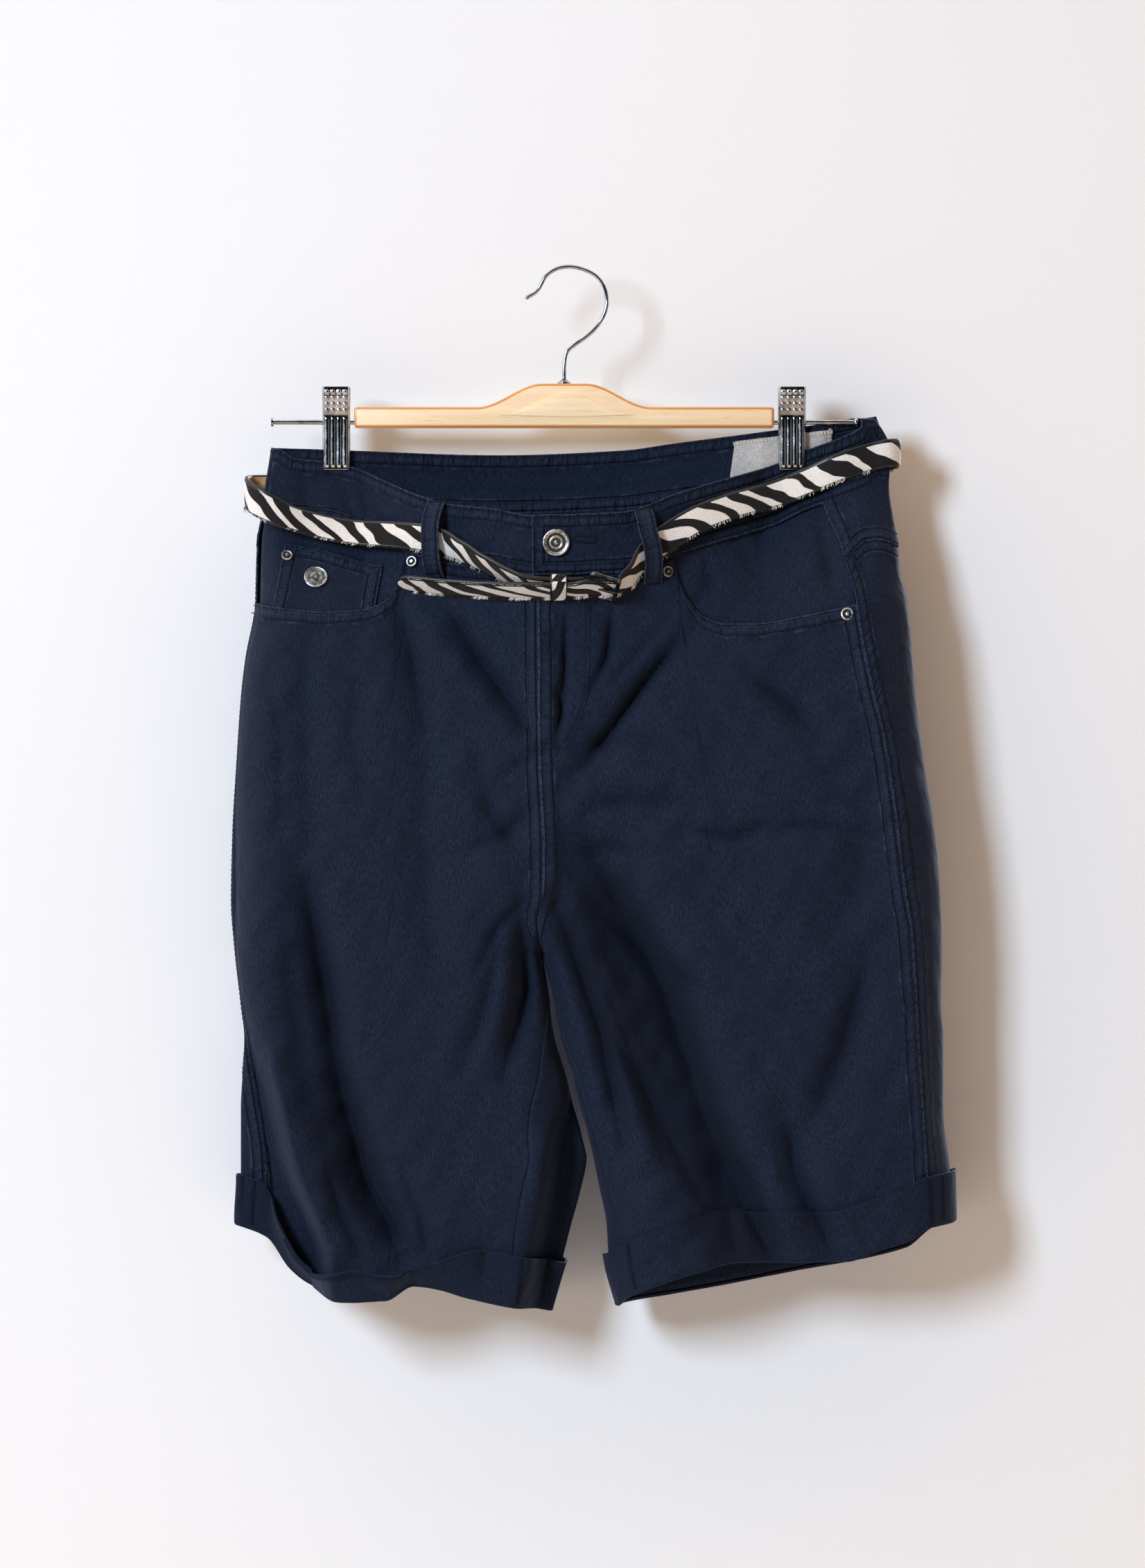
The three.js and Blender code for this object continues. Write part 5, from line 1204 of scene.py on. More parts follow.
def through(stations, count):
    """A centripetal curve through stations: points and unit tangents at even shares."""
    stations = np.asarray(stations, float)
    ends = np.vstack([2 * stations[0] - stations[1], stations, 2 * stations[-1] - stations[-2]])
    at = np.linspace(0, 1, count) * (len(stations) - 1)

    def points(at):
        i = np.clip(np.floor(at).astype(int), 0, len(stations) - 2)
        t = (at - i)[:, None]
        p0, p1, p2, p3 = (ends[i + k] for k in range(4))
        pairs = ((p0, p1), (p1, p2), (p2, p3))
        d0, d1, d2 = (np.sqrt(np.linalg.norm(b - a, axis=1, keepdims=True)) for a, b in pairs)
        m1 = ((p1 - p0) / d0 - (p2 - p0) / (d0 + d1) + (p2 - p1) / d1) * d1
        m2 = ((p2 - p1) / d1 - (p3 - p1) / (d1 + d2) + (p3 - p2) / d2) * d1
        return p1 + t * (m1 + t * ((-3 * p1 + 3 * p2 - 2 * m1 - m2) + t * (2 * p1 - 2 * p2 + m1 + m2)))

    ahead = points(np.clip(at + 0.001, 0, len(stations) - 1))
    behind = points(np.clip(at - 0.001, 0, len(stations) - 1))
    return points(at), unit(ahead - behind)


def turned(name, profile, place, axis, materials, segments=40, second=None):
    """A profile of radius and height spun about an axis that stands at a place; second chooses the
    second material by radius."""
    bm = bmesh.new()
    chain = [bm.verts.new((r * MM, 0, h * MM)) for r, h in profile]
    edges = [bm.edges.new(pair) for pair in zip(chain, chain[1:])]
    bmesh.ops.spin(
        bm, geom=chain + edges, cent=(0, 0, 0), axis=(0, 0, 1), angle=2 * math.pi, steps=segments,
        use_merge=True, use_duplicate=False,
    )
    bmesh.ops.remove_doubles(bm, verts=bm.verts, dist=0.000005)
    bmesh.ops.recalc_face_normals(bm, faces=bm.faces)
    if len(materials) > 1:
        for face in bm.faces:
            centre = face.calc_center_median()
            face.material_index = second(math.hypot(centre.x, centre.y) / MM)
    turn = Vector((0, 0, 1)).rotation_difference(Vector(axis))
    move = Matrix.Translation(Vector(place) * MM) @ turn.to_matrix().to_4x4()
    bmesh.ops.transform(bm, matrix=move, verts=bm.verts)
    return put(meshed(bm, name), materials, 40)


# Stitches: short capsules set one after another along a line on the cloth

STITCH_SIDES = 6


def stitch_shape():
    """One stitch of length 1 along X and radius 1, lying on its line."""
    bm = bmesh.new()
    bmesh.ops.create_uvsphere(bm, u_segments=STITCH_SIDES, v_segments=3, radius=1)
    bmesh.ops.rotate(bm, cent=(0, 0, 0), matrix=Matrix.Rotation(math.pi / 2, 3, "Y"), verts=bm.verts)
    return meshed(bm, "stitch_shape")


def repeated(name, starts, ends, normals, radius, finish, flat=None):
    """Capsules between pairs of points as one joined mesh, flattened a little against the cloth;
    flat gives each the cloth coordinates of its root."""
    long = np.linalg.norm(ends - starts, axis=1)
    single = bpy.data.objects.new("stitch", stitch_shape())
    bpy.context.scene.collection.objects.link(single)
    modify(single, "ARRAY", count=len(starts), use_relative_offset=False)
    spots = np.empty(len(single.data.vertices) * 3)
    single.data.vertices.foreach_get("co", spots)
    spots = spots.reshape(-1, 3)
    mesh = bpy.data.meshes.new_from_object(single.evaluated_get(bpy.context.evaluated_depsgraph_get()))
    mesh.name = name
    axis = (ends - starts) / long[:, None]
    side = unit(np.cross(normals, axis))
    up = np.cross(axis, side)
    blunt = np.sign(spots[:, 0]) * np.abs(spots[:, 0]) ** 0.6
    points = (
        ((starts + ends) / 2)[:, None] + axis[:, None] * (blunt[None, :, None] * long[:, None, None] / 2)
        + side[:, None] * (spots[None, :, 1:2] * radius) + up[:, None] * (spots[None, :, 2:3] * radius * 0.75)
    )
    mesh.vertices.foreach_set("co", (points * MM).ravel())
    if flat is not None:
        each = len(mesh.loops) // len(starts)
        places = np.repeat(flat * MM, each, axis=0).astype(np.float32).ravel()
        mesh.uv_layers.new(name="flat").data.foreach_set("uv", places)
    mesh.update()
    shape = single.data
    bpy.data.objects.remove(single)
    bpy.data.meshes.remove(shape)
    return put(mesh, [finish])


PIXEL = 0.43


def pixels(*pairs):
    """Places measured in the picture's own scale, as x and z of the frame."""
    return np.array([((px - 822) * PIXEL, -(py - 384) * PIXEL) for px, py in pairs])


def eased(pairs, step=1.0):
    """A smooth line of x and z through a few places."""
    stations = np.column_stack([pairs[:, 0], np.zeros(len(pairs)), pairs[:, 1]])
    points, _ = through(stations, max(4, round(running(stations)[-1] / step)))
    return points[:, [0, 2]]


def beside(line, offset):
    """A line of x and z moved sideways by an offset."""
    tangent = unit(np.gradient(line, axis=0))
    return line + offset * np.column_stack([-tangent[:, 1], tangent[:, 0]])


def on_cloth(side, back, line, lift=0.0, fine=1.0):
    return surface(side, back, line[:, 0], line[:, 1], lift, fine)


def along_line(path, normals, pitch, share, lift):
    """Starts, ends and normals of stitches set one after another along a path."""
    run = running(path)
    count = int(run[-1] / pitch)
    if count < 1:
        return [np.empty((0, 3))] * 3
    drift = np.random.default_rng(3).uniform(-0.06, 0.06, count) * pitch
    first = (np.arange(count) + (1 - share) / 2) * pitch + drift
    out = unit(picked(normals, first + share * pitch / 2, run))
    return picked(path, first, run) + out * lift, picked(path, first + share * pitch, run) + out * lift, out


def across_line(path, normals, width, pitch, lift, slant=0.0):
    """Dense short stitches that cross a path, as in a bar tack or an overlocked edge."""
    run = running(path)
    at = np.arange(0, run[-1], pitch)
    middle, out = picked(path, at, run), unit(picked(normals, at, run))
    ahead, behind = np.minimum(at + 0.2, run[-1]), np.maximum(at - 0.2, 0)
    tangent = unit(picked(path, ahead, run) - picked(path, behind, run))
    side = np.cross(out, tangent) * width / 2 + tangent * slant
    return middle - side + out * lift, middle + side + out * lift, out


def joined(groups):
    return [np.concatenate([group[k] for group in groups]) for k in range(3)]


FELLED = (1.6, 7.8)
BAND_ROWS = (1.8, BAND_HEIGHT - 5.2, BAND_HEIGHT - 1.8)
PATCH_ROWS = (1.4, 7.4)
# Topstitched edges: piece, edge, insets of the rows, and the stretch of the edge they cover
SEWN_SIDES = (
    ("back_", "start", FELLED, 0, 0.97), ("yoke_", "bottom", FELLED, 0, 1), ("back_", "end", FELLED, 0, 0.58),
    ("waistband_", "top", BAND_ROWS, 0, 1), ("back_pocket_", "start", PATCH_ROWS, 0, 1),
    ("back_pocket_", "end", PATCH_ROWS, 0, 1), ("back_pocket_", "bottom", PATCH_ROWS, 0, 1),
    ("back_pocket_", "top", (1.4, 11), 0, 1),
)
SEWN_ONCE = (
    ("waistband_back", "top", BAND_ROWS, 0, 1), ("waistband_left", "start", (1.8,), 0, 1),
    ("front_left", "start", (0.9, 8.0), 0.35, 0.62), ("coin_pocket", "top", (1.3, 6.0), 0, 1),
    ("coin_pocket", "end", (1.2, 4.4), 0, 1), ("coin_pocket", "start", (1.2,), 0, 1),
)
POCKET_ROWS = (1.7, 6.6)
FLY_LINE = (
    (845, 830), (845, 865), (844, 965), (840, 1009), (832, 1034), (822, 1058), (809, 1076), (794, 1080),
    (782, 1082),
)
FLY_ROWS = (0, 2.6)
LOOP_INSET = 2.2


def seam_lines():
    """Every topstitched line of the garment, as paths with normals."""
    rows_of = [(name + side, *rest) for side in SIDES for name, *rest in SEWN_SIDES]
    rows_of += [*SEWN_ONCE, *((name, edge, (LOOP_INSET,), 0, 1) for name in LOOPS for edge in ("start", "end"))]
    lines = [
        piece_of(name).line(edge, inset, start, stop)
        for name, edge, insets, start, stop in rows_of for inset in insets
    ]
    for side in SIDES:
        edge = eased(np.column_stack([SCOOP[side]["x"], SCOOP[side]["z"]]))
        edge = edge[edge[:, 1] < band_bottom(side, False, edge[:, 0], 0) - 2]
        lines += [on_cloth(side, False, beside(edge, -inset), 0.1) for inset in POCKET_ROWS]
    fly = eased(pixels(*FLY_LINE))
    return lines + [on_cloth("left", False, beside(fly, inset), 0.1) for inset in FLY_ROWS]


def cuff_column(side, x):
    """A line down the front of a cuff at an x, without its rolled hem."""
    cloth = piece_of("cuff_" + side)
    nearest = (np.abs(cloth.points[:, 12, 0] - x) + np.where(cloth.normals[:, 12, 1] < 0, 0, 1000)).argmin()
    return cloth.points[nearest, 1:25], cloth.normals[nearest, 1:25]


CUFF_BARS = (("right", -198), ("right", -32), ("left", 37.5), ("left", 223), ("left", 231.5))
RAW_EDGE = (-178, -98)
FLY_BARS = (((785, 1035), (800, 1035)), ((795, 1078), (808, 1079)))


def bar_tacks():
    """Dense bars at the ends of seams, loops and pockets, down the cuffs and on the raw cuff edge."""
    bars = [(cuff_column(side, x), 3.4) for side, x in CUFF_BARS]
    cuff = piece_of("cuff_right")
    across = cuff.points[:, 0, 0]
    raw = np.flatnonzero((cuff.normals[:, 2, 1] < 0) & (across > RAW_EDGE[0]) & (across < RAW_EDGE[1]))
    bars.append(((cuff.points[raw, 2], cuff.normals[raw, 2]), 3.6))
    for start, end in FLY_BARS:
        bars.append((on_cloth("left", False, np.linspace(*pixels(start, end), 8), 0.2), 2.4))
    for name in LOOPS:
        loop = piece_of(name)
        for row in (1, -2):
            bars.append(((loop.points[2:-2, row], loop.normals[2:-2, row]), 2.6))
    for side in SIDES:
        pocket = piece_of("back_pocket_" + side)
        for column in (2, -3):
            bars.append(((pocket.points[column, :8], pocket.normals[column, :8]), 2.2))
    return bars


# The belt, its keeper and its buckle

BELT_ROUTE = rows(
    "x z stand roll",
    (8.6, -198.9, 10.9, 63), (-9.5, -198.9, 11, 64), (-27, -197, 11.1, 64), (-38.7, -192.5, 10.5, 60),
    (-53.3, -185, 9.4, 54), (-66.7, -177.5, 7.8, 40), (-78, -172.2, 5.6, 20), (-89.4, -169, 4.6, 2),
    (-109, -166.8, 5.4, -16), (-137, -164.7, 5.6, -24), (-162, -159.5, 6.4, -24), (-180, -153.4, 9, -16),
)
BELT_BULGE = rows(
    "x y z roll", (-194, -17, -146, -8), (-200, -9, -141, 0), (-201, 0, -138, 0), (-197, 9, -137, 0),
)
BELT_BACK = rows(
    "x z stand",
    (-172, -137, 3.4), (-145, -137, 2.4), (-80, -137.5, 2.3), (-20, -138.5, 2.3), (60, -137.5, 2.3),
    (110, -137, 2.3), (145, -135, 2.6), (172, -127, 3), (188, -120, 3.4),
)
BELT_LEFT = rows(
    "x y z roll", (200, 6.4, -116.5, 0), (204.4, 2, -115.4, 0), (204.4, -3, -115, 0), (199.5, -8.4, -115.3, 0),
)
BELT_RETURN = rows(
    "x z stand roll",
    (188, -117.6, 3.8, 0), (165, -125.5, 5, -4), (148, -132.9, 5.6, -10), (127.7, -141, 5.9, -16),
    (102, -148.4, 6, -20), (78, -158, 5.6, -18), (60, -169.5, 5.4, -4), (47, -180, 6, 22),
    (37, -193, 8.8, 44), (29.3, -200.3, 9.8, 60), (20, -200.2, 12.9, 62), (11.5, -200.3, 14.6, 63),
    (4, -201.6, 13.5, 64), (-10, -202, 12.6, 64), (-43.4, -201.7, 11.6, 62), (-76.5, -199.6, 10, 62),
    (-97, -197.4, 9.6, 62),
)
BELT_WIDTH = 17.5
BELT_THICK = 2.6


def belt_frames(count):
    """Centres, widths and outward directions of the belt along its route, and its tangents."""
    stations, rolls = [], []
    for table in (BELT_ROUTE, BELT_BULGE, BELT_BACK, BELT_LEFT, BELT_RETURN):
        roll = table.get("roll", np.zeros(len(table["x"])))
        rolls.extend(roll)
        if "y" in table:
            stations.extend(np.column_stack([table["x"], table["y"], table["z"]]))
            continue
        for x, z, stand in zip(table["x"], table["z"], table["stand"]):
            side = "right" if x < -18 else "left"
            deep = back_depth(side, x, z, 0) if table is BELT_BACK else -front_depth(side, x, z, 0)
            stations.append(np.array([x, deep + (stand if table is BELT_BACK else -stand), z], float))
    centres, tangents = through(stations, count)
    at = np.linspace(0, 1, count) * (len(stations) - 1)
    i = np.clip(np.floor(at).astype(int), 0, len(stations) - 2)
    rolls = np.radians(rolls)
    roll = lerp(rolls[i], rolls[i + 1], smooth(0, 1, at - i))[:, None]
    level = unit(np.array([0, 0, 1.0]) - tangents * tangents[:, 2:])
    away = unit(np.cross(level, tangents))
    width = level * np.cos(roll) + away * np.sin(roll)
    return centres, width, unit(np.cross(width, tangents)), tangents


def strap_section(half_width, half_thick):
    """Outer face, painted edge, lining and painted edge again, with the outer face padded."""
    face = np.append(np.linspace(-1, 0.86, 8), 1)
    flat = half_width - half_thick
    outer = [(flat * w, half_thick + 0.3 * (1 - w * w)) for w in face]
    turns = np.linspace(0, math.pi, 6)[1:-1]
    edge = [(flat + half_thick * math.sin(a), half_thick * math.cos(a)) for a in turns]
    inner = [(-flat * w, -half_thick) for w in face]
    other = [(-w, -n) for w, n in edge]
    return np.array(outer + edge + inner + other)


STRAP_FACES = np.array([0] * 7 + [1] * 6 + [2] * 8 + [1] * 6)


KEEPER = {"x": -6.9, "z": -200.4, "stand": 11.8, "lean": 64, "slope": 0.0}
BUCKLE = {"x": 20.4, "z": -200.2, "stand": 13.1, "lean": 62, "slope": 0.3}


def fastening_frame(row):
    """Centre and directions of a fastening that leans forward and runs down to the right side."""
    depth_there = float(front_depth("left", row["x"], row["z"], 0))
    centre = np.array([row["x"], -depth_there - row["stand"], row["z"]])
    slope, roll = row["slope"], math.radians(row["lean"])
    tangent = np.array([-math.cos(slope), 0, math.sin(slope)])
    level = np.array([math.sin(slope), 0, math.cos(slope)])
    width = level * math.cos(roll) + unit(np.cross(level, tangent)) * math.sin(roll)
    return centre, width, unit(np.cross(width, tangent)), tangent


def loop_round(centre, first, second, *corners):
    """Centres of a closed band round a rectangle with round corners, and their directions ahead."""
    outline = rounded(*corners)
    path = dense(np.vstack([outline, outline[:1]]), 0.8)[:-1]
    centres = centre + path[:, :1] * first + path[:, 1:] * second
    return centres, unit(np.roll(centres, -1, axis=0) - np.roll(centres, 1, axis=0))


# The hanger

BAR_LENGTH = 261.4
BAR_TOP, BAR_BOTTOM, BAR_DEEP = -86.6, -99.4, 13
HUMP = {"half": 54, "flat": 14, "rise": 14.6}
ROD_Z = -95.8
WIRE_RADIUS = 1.25
JAW_GAP = 3.5
HOOK_LINE = rows(
    "x z",
    (-26.5, -17.9), (-20.5, -14), (-14.4, -4.1), (-7.8, 0), (0, 1.25), (8.6, -0.5), (15.9, -4.2),
    (20.8, -10), (22.9, -17), (22.9, -23.6), (20.6, -30.2), (16.3, -36.8), (9.7, -42.8), (3.1, -47.4),
    (-1.5, -51.6), (-3, -56.5), (-3.5, -69.4),
)


FERRULE_PROFILE = (
    (1.5, 0), (4.2, 0), (4.3, 0.4), (4.1, 0.9), (3.3, 1.2), (2.9, 1.8), (2.2, 2.3), (1.5, 2.35),
)
ROD_PROFILE = (
    (0, 0), (1.5, 0), (1.5, 50), (1.9, 50.3), (2.6, 50.5), (2.8, 50.9), (2.8, 51.7), (2.5, 52), (0, 52),
)
BARREL_PROFILE = ((1.8, 0), (3.0, 0), (3.2, 0.3), (3.2, 10.7), (3.0, 11), (1.8, 11))


def bar_crest(x):
    return BAR_TOP + HUMP["rise"] * smooth(HUMP["half"], HUMP["flat"], np.abs(x))


def board(name, x, low, high, deep, bevel, materials, place, segments=3):
    """An upright board between two heights over x, with bevelled outlines front and back."""
    bm = bmesh.new()
    bmesh.ops.create_grid(bm, x_segments=len(x) - 1, y_segments=1, size=0.5)
    for v in bm.verts:
        i = round((v.co.x + 0.5) * (len(x) - 1))
        v.co = Vector((x[i], -deep / 2, high[i] if v.co.y > 0 else low[i])) * MM
    front = list(bm.faces)
    side = bmesh.ops.extrude_face_region(bm, geom=front)
    moved = [v for v in side["geom"] if isinstance(v, bmesh.types.BMVert)]
    bmesh.ops.translate(bm, verts=moved, vec=(0, deep * MM, 0))
    bmesh.ops.recalc_face_normals(bm, faces=bm.faces)
    rims = [e for e in bm.edges if len(e.link_faces) == 2 and e.calc_face_angle() > math.radians(50)]
    bevelled = bmesh.ops.bevel(
        bm, geom=rims, offset=bevel * MM, affect="EDGES", segments=segments, profile=0.5, material=-1)
    for face in bevelled["faces"]:
        face.material_index = len(materials) - 1
    bmesh.ops.translate(bm, verts=bm.verts, vec=Vector(place) * MM)
    return put(meshed(bm, name), materials, 28)


def jaw_cloth(facing, centre_x):
    """The pressed plate of a jaw: side flanges, four rows of four domes above, four ribs below."""
    x = np.linspace(-8.5, 8.5, 65)[:, None]
    z = np.linspace(-74, -125.6, 150)[None]
    share = (z + 74) / (-125.6 + 74)
    flange = 2.0 - 1.6 * smooth(7.3, 8.5, np.abs(x))
    gape = 3.4 * (1 - smooth(0, 0.45, share))
    cell_x = (np.abs(((x + 7.48) / 3.74) % 1 - 0.5)) * 3.74
    cell_z = (np.abs(((z + 75.4) / 3.9) % 1 - 0.5)) * 3.9
    inner = np.abs(x) < 7.5
    dome = np.sqrt(np.clip(1 - (np.hypot(cell_x, cell_z) / 1.45) ** 2, 0, 1))
    dome = dome * ((z < -75.4) & (z > -91.0) & inner)
    length = smooth(-92.6, -94.2, z) * smooth(-124.6, -122.4, z)
    rib = np.sqrt(np.clip(1 - (cell_x / 1.25) ** 2, 0, 1)) * length * inner
    sign = -1 if facing == "front" else 1
    y = sign * (JAW_GAP + gape + flange + 0.75 * dome + 0.55 * rib)
    points = np.stack(np.broadcast_arrays(centre_x + x, y, z), axis=-1)
    return Cloth(points, np.broadcast_to(np.array([0, sign, 0.0]), points.shape))


# Operators: one for each piece or group of like pieces

class ShortsSettings(bpy.types.PropertyGroup):
    """Sizes the operators read"""

    cloth: FloatProperty(name="Cloth", description="Thickness of the twill", default=0.0012, unit="LENGTH")
    band: FloatProperty(
        name="Band", description="Thickness of the folded waistband", default=0.0018, unit="LENGTH")
    stitch: FloatProperty(
        name="Stitch", description="Length from stitch to stitch", default=0.0031, unit="LENGTH")
    stitch_share: FloatProperty(
        name="Stitch share", description="Share of that length that is thread", default=0.78, subtype="FACTOR")
    thread: FloatProperty(name="Thread", description="Radius of a stitch", default=0.00036, unit="LENGTH")
    distance: FloatProperty(
        name="Distance", description="From the camera to the garment", default=4.0, unit="LENGTH")
    view_height: FloatProperty(
        name="View height", description="Height that the picture shows", default=0.973, unit="LENGTH")
    centre: FloatVectorProperty(
        name="Centre", description="Point in the middle of the picture", default=(0.0017, -0.02, -0.3214),
        subtype="TRANSLATION")
    key: FloatProperty(name="Key", description="Power of the key light", default=146.0, unit="POWER")
    room: FloatProperty(name="Room", description="Strength of the warm light all round", default=1.3)
    cloth_colour: FloatVectorProperty(
        name="Cloth", description="The twill's lighter threads", default=linear("#1f2a41")[:3], subtype="COLOR")
    hide_pale: FloatVectorProperty(
        name="Hide, pale", description="Tips of the pale hair", default=linear("#eaebe9")[:3], subtype="COLOR")
    hide_dark: FloatVectorProperty(
        name="Hide, dark", description="Tips of the dark hair", default=linear("#191513")[:3], subtype="COLOR")
    wood_colour: FloatVectorProperty(
        name="Wood", description="Paler wood between the veins", default=linear("#f5e0bd")[:3], subtype="COLOR")
    wall_colour: FloatVectorProperty(
        name="Wall", description="Paint of the wall", default=linear("#eff2f4")[:3], subtype="COLOR")
    belt_steps: IntProperty(name="Belt steps", description="Sections along the belt", default=700)


ALL_ROUND = ("start", "end", "top", "bottom")


def settings():
    return bpy.context.scene.shorts


class SHORTS_OT_legs(bpy.types.Operator):
    """Fronts, backs and yokes of twill"""

    bl_idname = "shorts.legs"
    bl_label = "Fronts, backs and yokes"

    def execute(self, context):
        thick = settings().cloth / MM
        for side in SIDES:
            sewn("front_" + side, ("-start", "end", "top"), thick)
            sewn("back_" + side, ("start", "-end", "top"), thick)
            sewn("yoke_" + side, ("start", "bottom"), thick)
        return {"FINISHED"}


class SHORTS_OT_waist(bpy.types.Operator):
    """Waistband with its buttoned tab and underlap"""

    bl_idname = "shorts.waist"
    bl_label = "Waistband"

    def execute(self, context):
        thick = settings().band / MM
        for part in ("right", "left", "back"):
            sewn("waistband_" + part, ALL_ROUND, thick, soft=0.5)
        return {"FINISHED"}


class SHORTS_OT_pockets(bpy.types.Operator):
    """Facings, coin pocket and back pockets"""

    bl_idname = "shorts.pockets"
    bl_label = "Pockets"

    def execute(self, context):
        for side in SIDES:
            sewn("pocket_facing_" + side, (), 1)
            sewn("back_pocket_" + side, ALL_ROUND, 1, soft=0.3)
        sewn("coin_pocket", ("start", "end", "top"), 0.8, soft=0.25)
        return {"FINISHED"}


class SHORTS_OT_cuffs(bpy.types.Operator):
    """Turned-up cuffs with their rolled hems"""

    bl_idname = "shorts.cuffs"
    bl_label = "Cuffs"

    def execute(self, context):
        for side in SIDES:
            sewn("cuff_" + side, (), 1.5, soft=0.4)
        return {"FINISHED"}


class SHORTS_OT_loops(bpy.types.Operator):
    """Belt loops"""

    bl_idname = "shorts.loops"
    bl_label = "Belt loops"

    def execute(self, context):
        for name in LOOPS:
            sewn(name, ("start", "end"), 1.5, soft=0.35)
        return {"FINISHED"}


class SHORTS_OT_label(bpy.types.Operator):
    """Bare woven label inside the back of the band"""

    bl_idname = "shorts.label"
    bl_label = "Inner label"

    def execute(self, context):
        sewn("inner_label", (), 0.5, slot="tape", finish="tape")
        label = piece_of("inner_label")
        groups = []
        for edge in ("top", "end"):
            path, normals = label.line(edge, 1.6)
            groups += [across_line(path, normals, 2.4, 2.2, 0.25, slant) for slant in (0.9, -0.9)]
        keep(repeated("label_stitches", *joined(groups), 0.36, "pale_thread"), "tape")
        return {"FINISHED"}


class SHORTS_OT_stitches(bpy.types.Operator):
    """Topstitching, bar tacks, the buttonhole and the overlocked edges"""

    bl_idname = "shorts.stitches"
    bl_label = "Stitching"

    def execute(self, context):
        s = settings()
        pitch, radius = s.stitch / MM, s.thread / MM
        groups = [along_line(path, normals, pitch, s.stitch_share, 0.12) for path, normals in seam_lines()]
        keep(repeated("topstitching", *joined(groups), radius, "thread"), "twill")
        tacks = [across_line(path, normals, width, 0.62, 0.25) for (path, normals), width in bar_tacks()]
        ring = rounded(6.2, 1.7, 1.6, 8) + pixels((843, 780))
        ring = np.vstack([ring, ring[:1]])
        path, normals = on_cloth("left", False, ring, tab_lift(3.0) + 0.2)
        tacks.append(across_line(path, normals, 2.0, 0.7, 0.15))
        keep(repeated("bar_tacks", *joined(tacks), radius * 0.9, "thread"), "twill")
        return {"FINISHED"}


class SHORTS_OT_belt(bpy.types.Operator):
    """Hide belt with its keeper and buckle"""

    bl_idname = "shorts.belt"
    bl_label = "Belt"

    def execute(self, context):
        centres, width, out, tangents = belt_frames(settings().belt_steps)
        run = running(centres)
        tip = np.linspace(0.6, 9, 14)
        centres = np.vstack([centres, centres[-1] + tip[:, None] * tangents[-1]])
        width, out = (np.vstack([grid, np.repeat(grid[-1:], len(tip), axis=0)]) for grid in (width, out))
        narrow = np.concatenate([np.ones(len(run)), np.sqrt(np.clip(1 - (tip / 9.4) ** 2, 0, 1))])
        section = strap_section(BELT_WIDTH / 2, BELT_THICK / 2)
        sections = np.stack([section * (share, 1) for share in narrow])
        strap = swept("belt_strap_hide", centres, width, out, sections,
                      ["striped_hide", "edge_paint", "lining"], faces=STRAP_FACES)
        keep(strap, "belt_hide", "belt_strap")
        self.hairs(run, centres[:len(run)], width[:len(run)], out[:len(run)], tangents)
        self.keeper()
        self.buckle()
        return {"FINISHED"}

    def hairs(self, run, centres, width, out, tangents):
        """Short hair that stands off the cut edges of the hide, denser on the loose end."""
        draw = np.random.default_rng(23)
        groups, roots = [], []
        for edge, first, count in ((-1, 0, 1500), (-1, 0.86, 500), (1, 0.86, 260)):
            at = draw.uniform(first, 1, count) * run[-1]
            across, away, ahead = (unit(picked(grid, at, run)) for grid in (width, out, tangents))
            reach = draw.uniform(0.7, 2.3, count)[:, None]
            lean = draw.uniform(-0.2, 1.1, count)[:, None]
            root = picked(centres, at, run) + across * edge * (BELT_WIDTH / 2 - 1.2) + away * BELT_THICK * 0.46
            groups.append((root, root + unit(across * edge + ahead * lean + away * 0.35) * (reach + 1.0), away))
            roots.append(np.column_stack([at, np.full(count, edge * 7.0)]))
        keep(repeated("belt_hairs", *joined(groups), 0.13, "striped_hide", np.concatenate(roots)), "belt_hide")

    def keeper(self):
        centre, width, out, tangent = fastening_frame(KEEPER)
        centres, ahead = loop_round(centre, width, out, 9.8, 4.1, 2.6, 6)
        across = np.repeat(tangent[None], len(centres), axis=0)
        section = strap_section(5.2, 0.62)
        obj = swept("belt_keeper_hide", centres, across, unit(np.cross(across, ahead)), section,
                    ["striped_hide", "edge_paint", "lining"], closed=True, faces=STRAP_FACES)
        keep(obj, "belt_hide", "belt_keeper")

    def buckle(self):
        centre, width, out, tangent = fastening_frame(BUCKLE)
        centres, ahead = loop_round(centre, width, tangent, 12.1, 8.7, 2.2, 8)
        up = np.repeat(out[None], len(centres), axis=0)
        section = rounded(1.3, 1.2, 0.35, 4)
        side = np.cross(up, ahead)
        obj = swept("belt_buckle_frame", centres, side, up, section, ["gunmetal"], closed=True)
        keep(obj, "gunmetal", "belt_buckle")
        spine = np.linspace(-9.2, 9.4, 30)
        arch = 1.3 + 0.7 * np.cos(spine / 9.4 * math.pi / 2)
        centres = centre + spine[:, None] * tangent + arch[:, None] * out
        taper = (1 - 0.45 * smooth(2, 9.4, spine))[:, None, None]
        section = rounded(1.1, 0.75, 0.7, 5)[None] * taper
        across, up = (np.repeat(way[None], len(spine), axis=0) for way in (width, out))
        prong = swept("belt_prong", centres, across, up, section, ["gunmetal"])
        keep(prong, "gunmetal")


def ringed(*bounds):
    """Chooses the second material between pairs of radii."""
    return lambda radius: int(any(low < radius < high for low, high in zip(bounds[::2], bounds[1::2])))


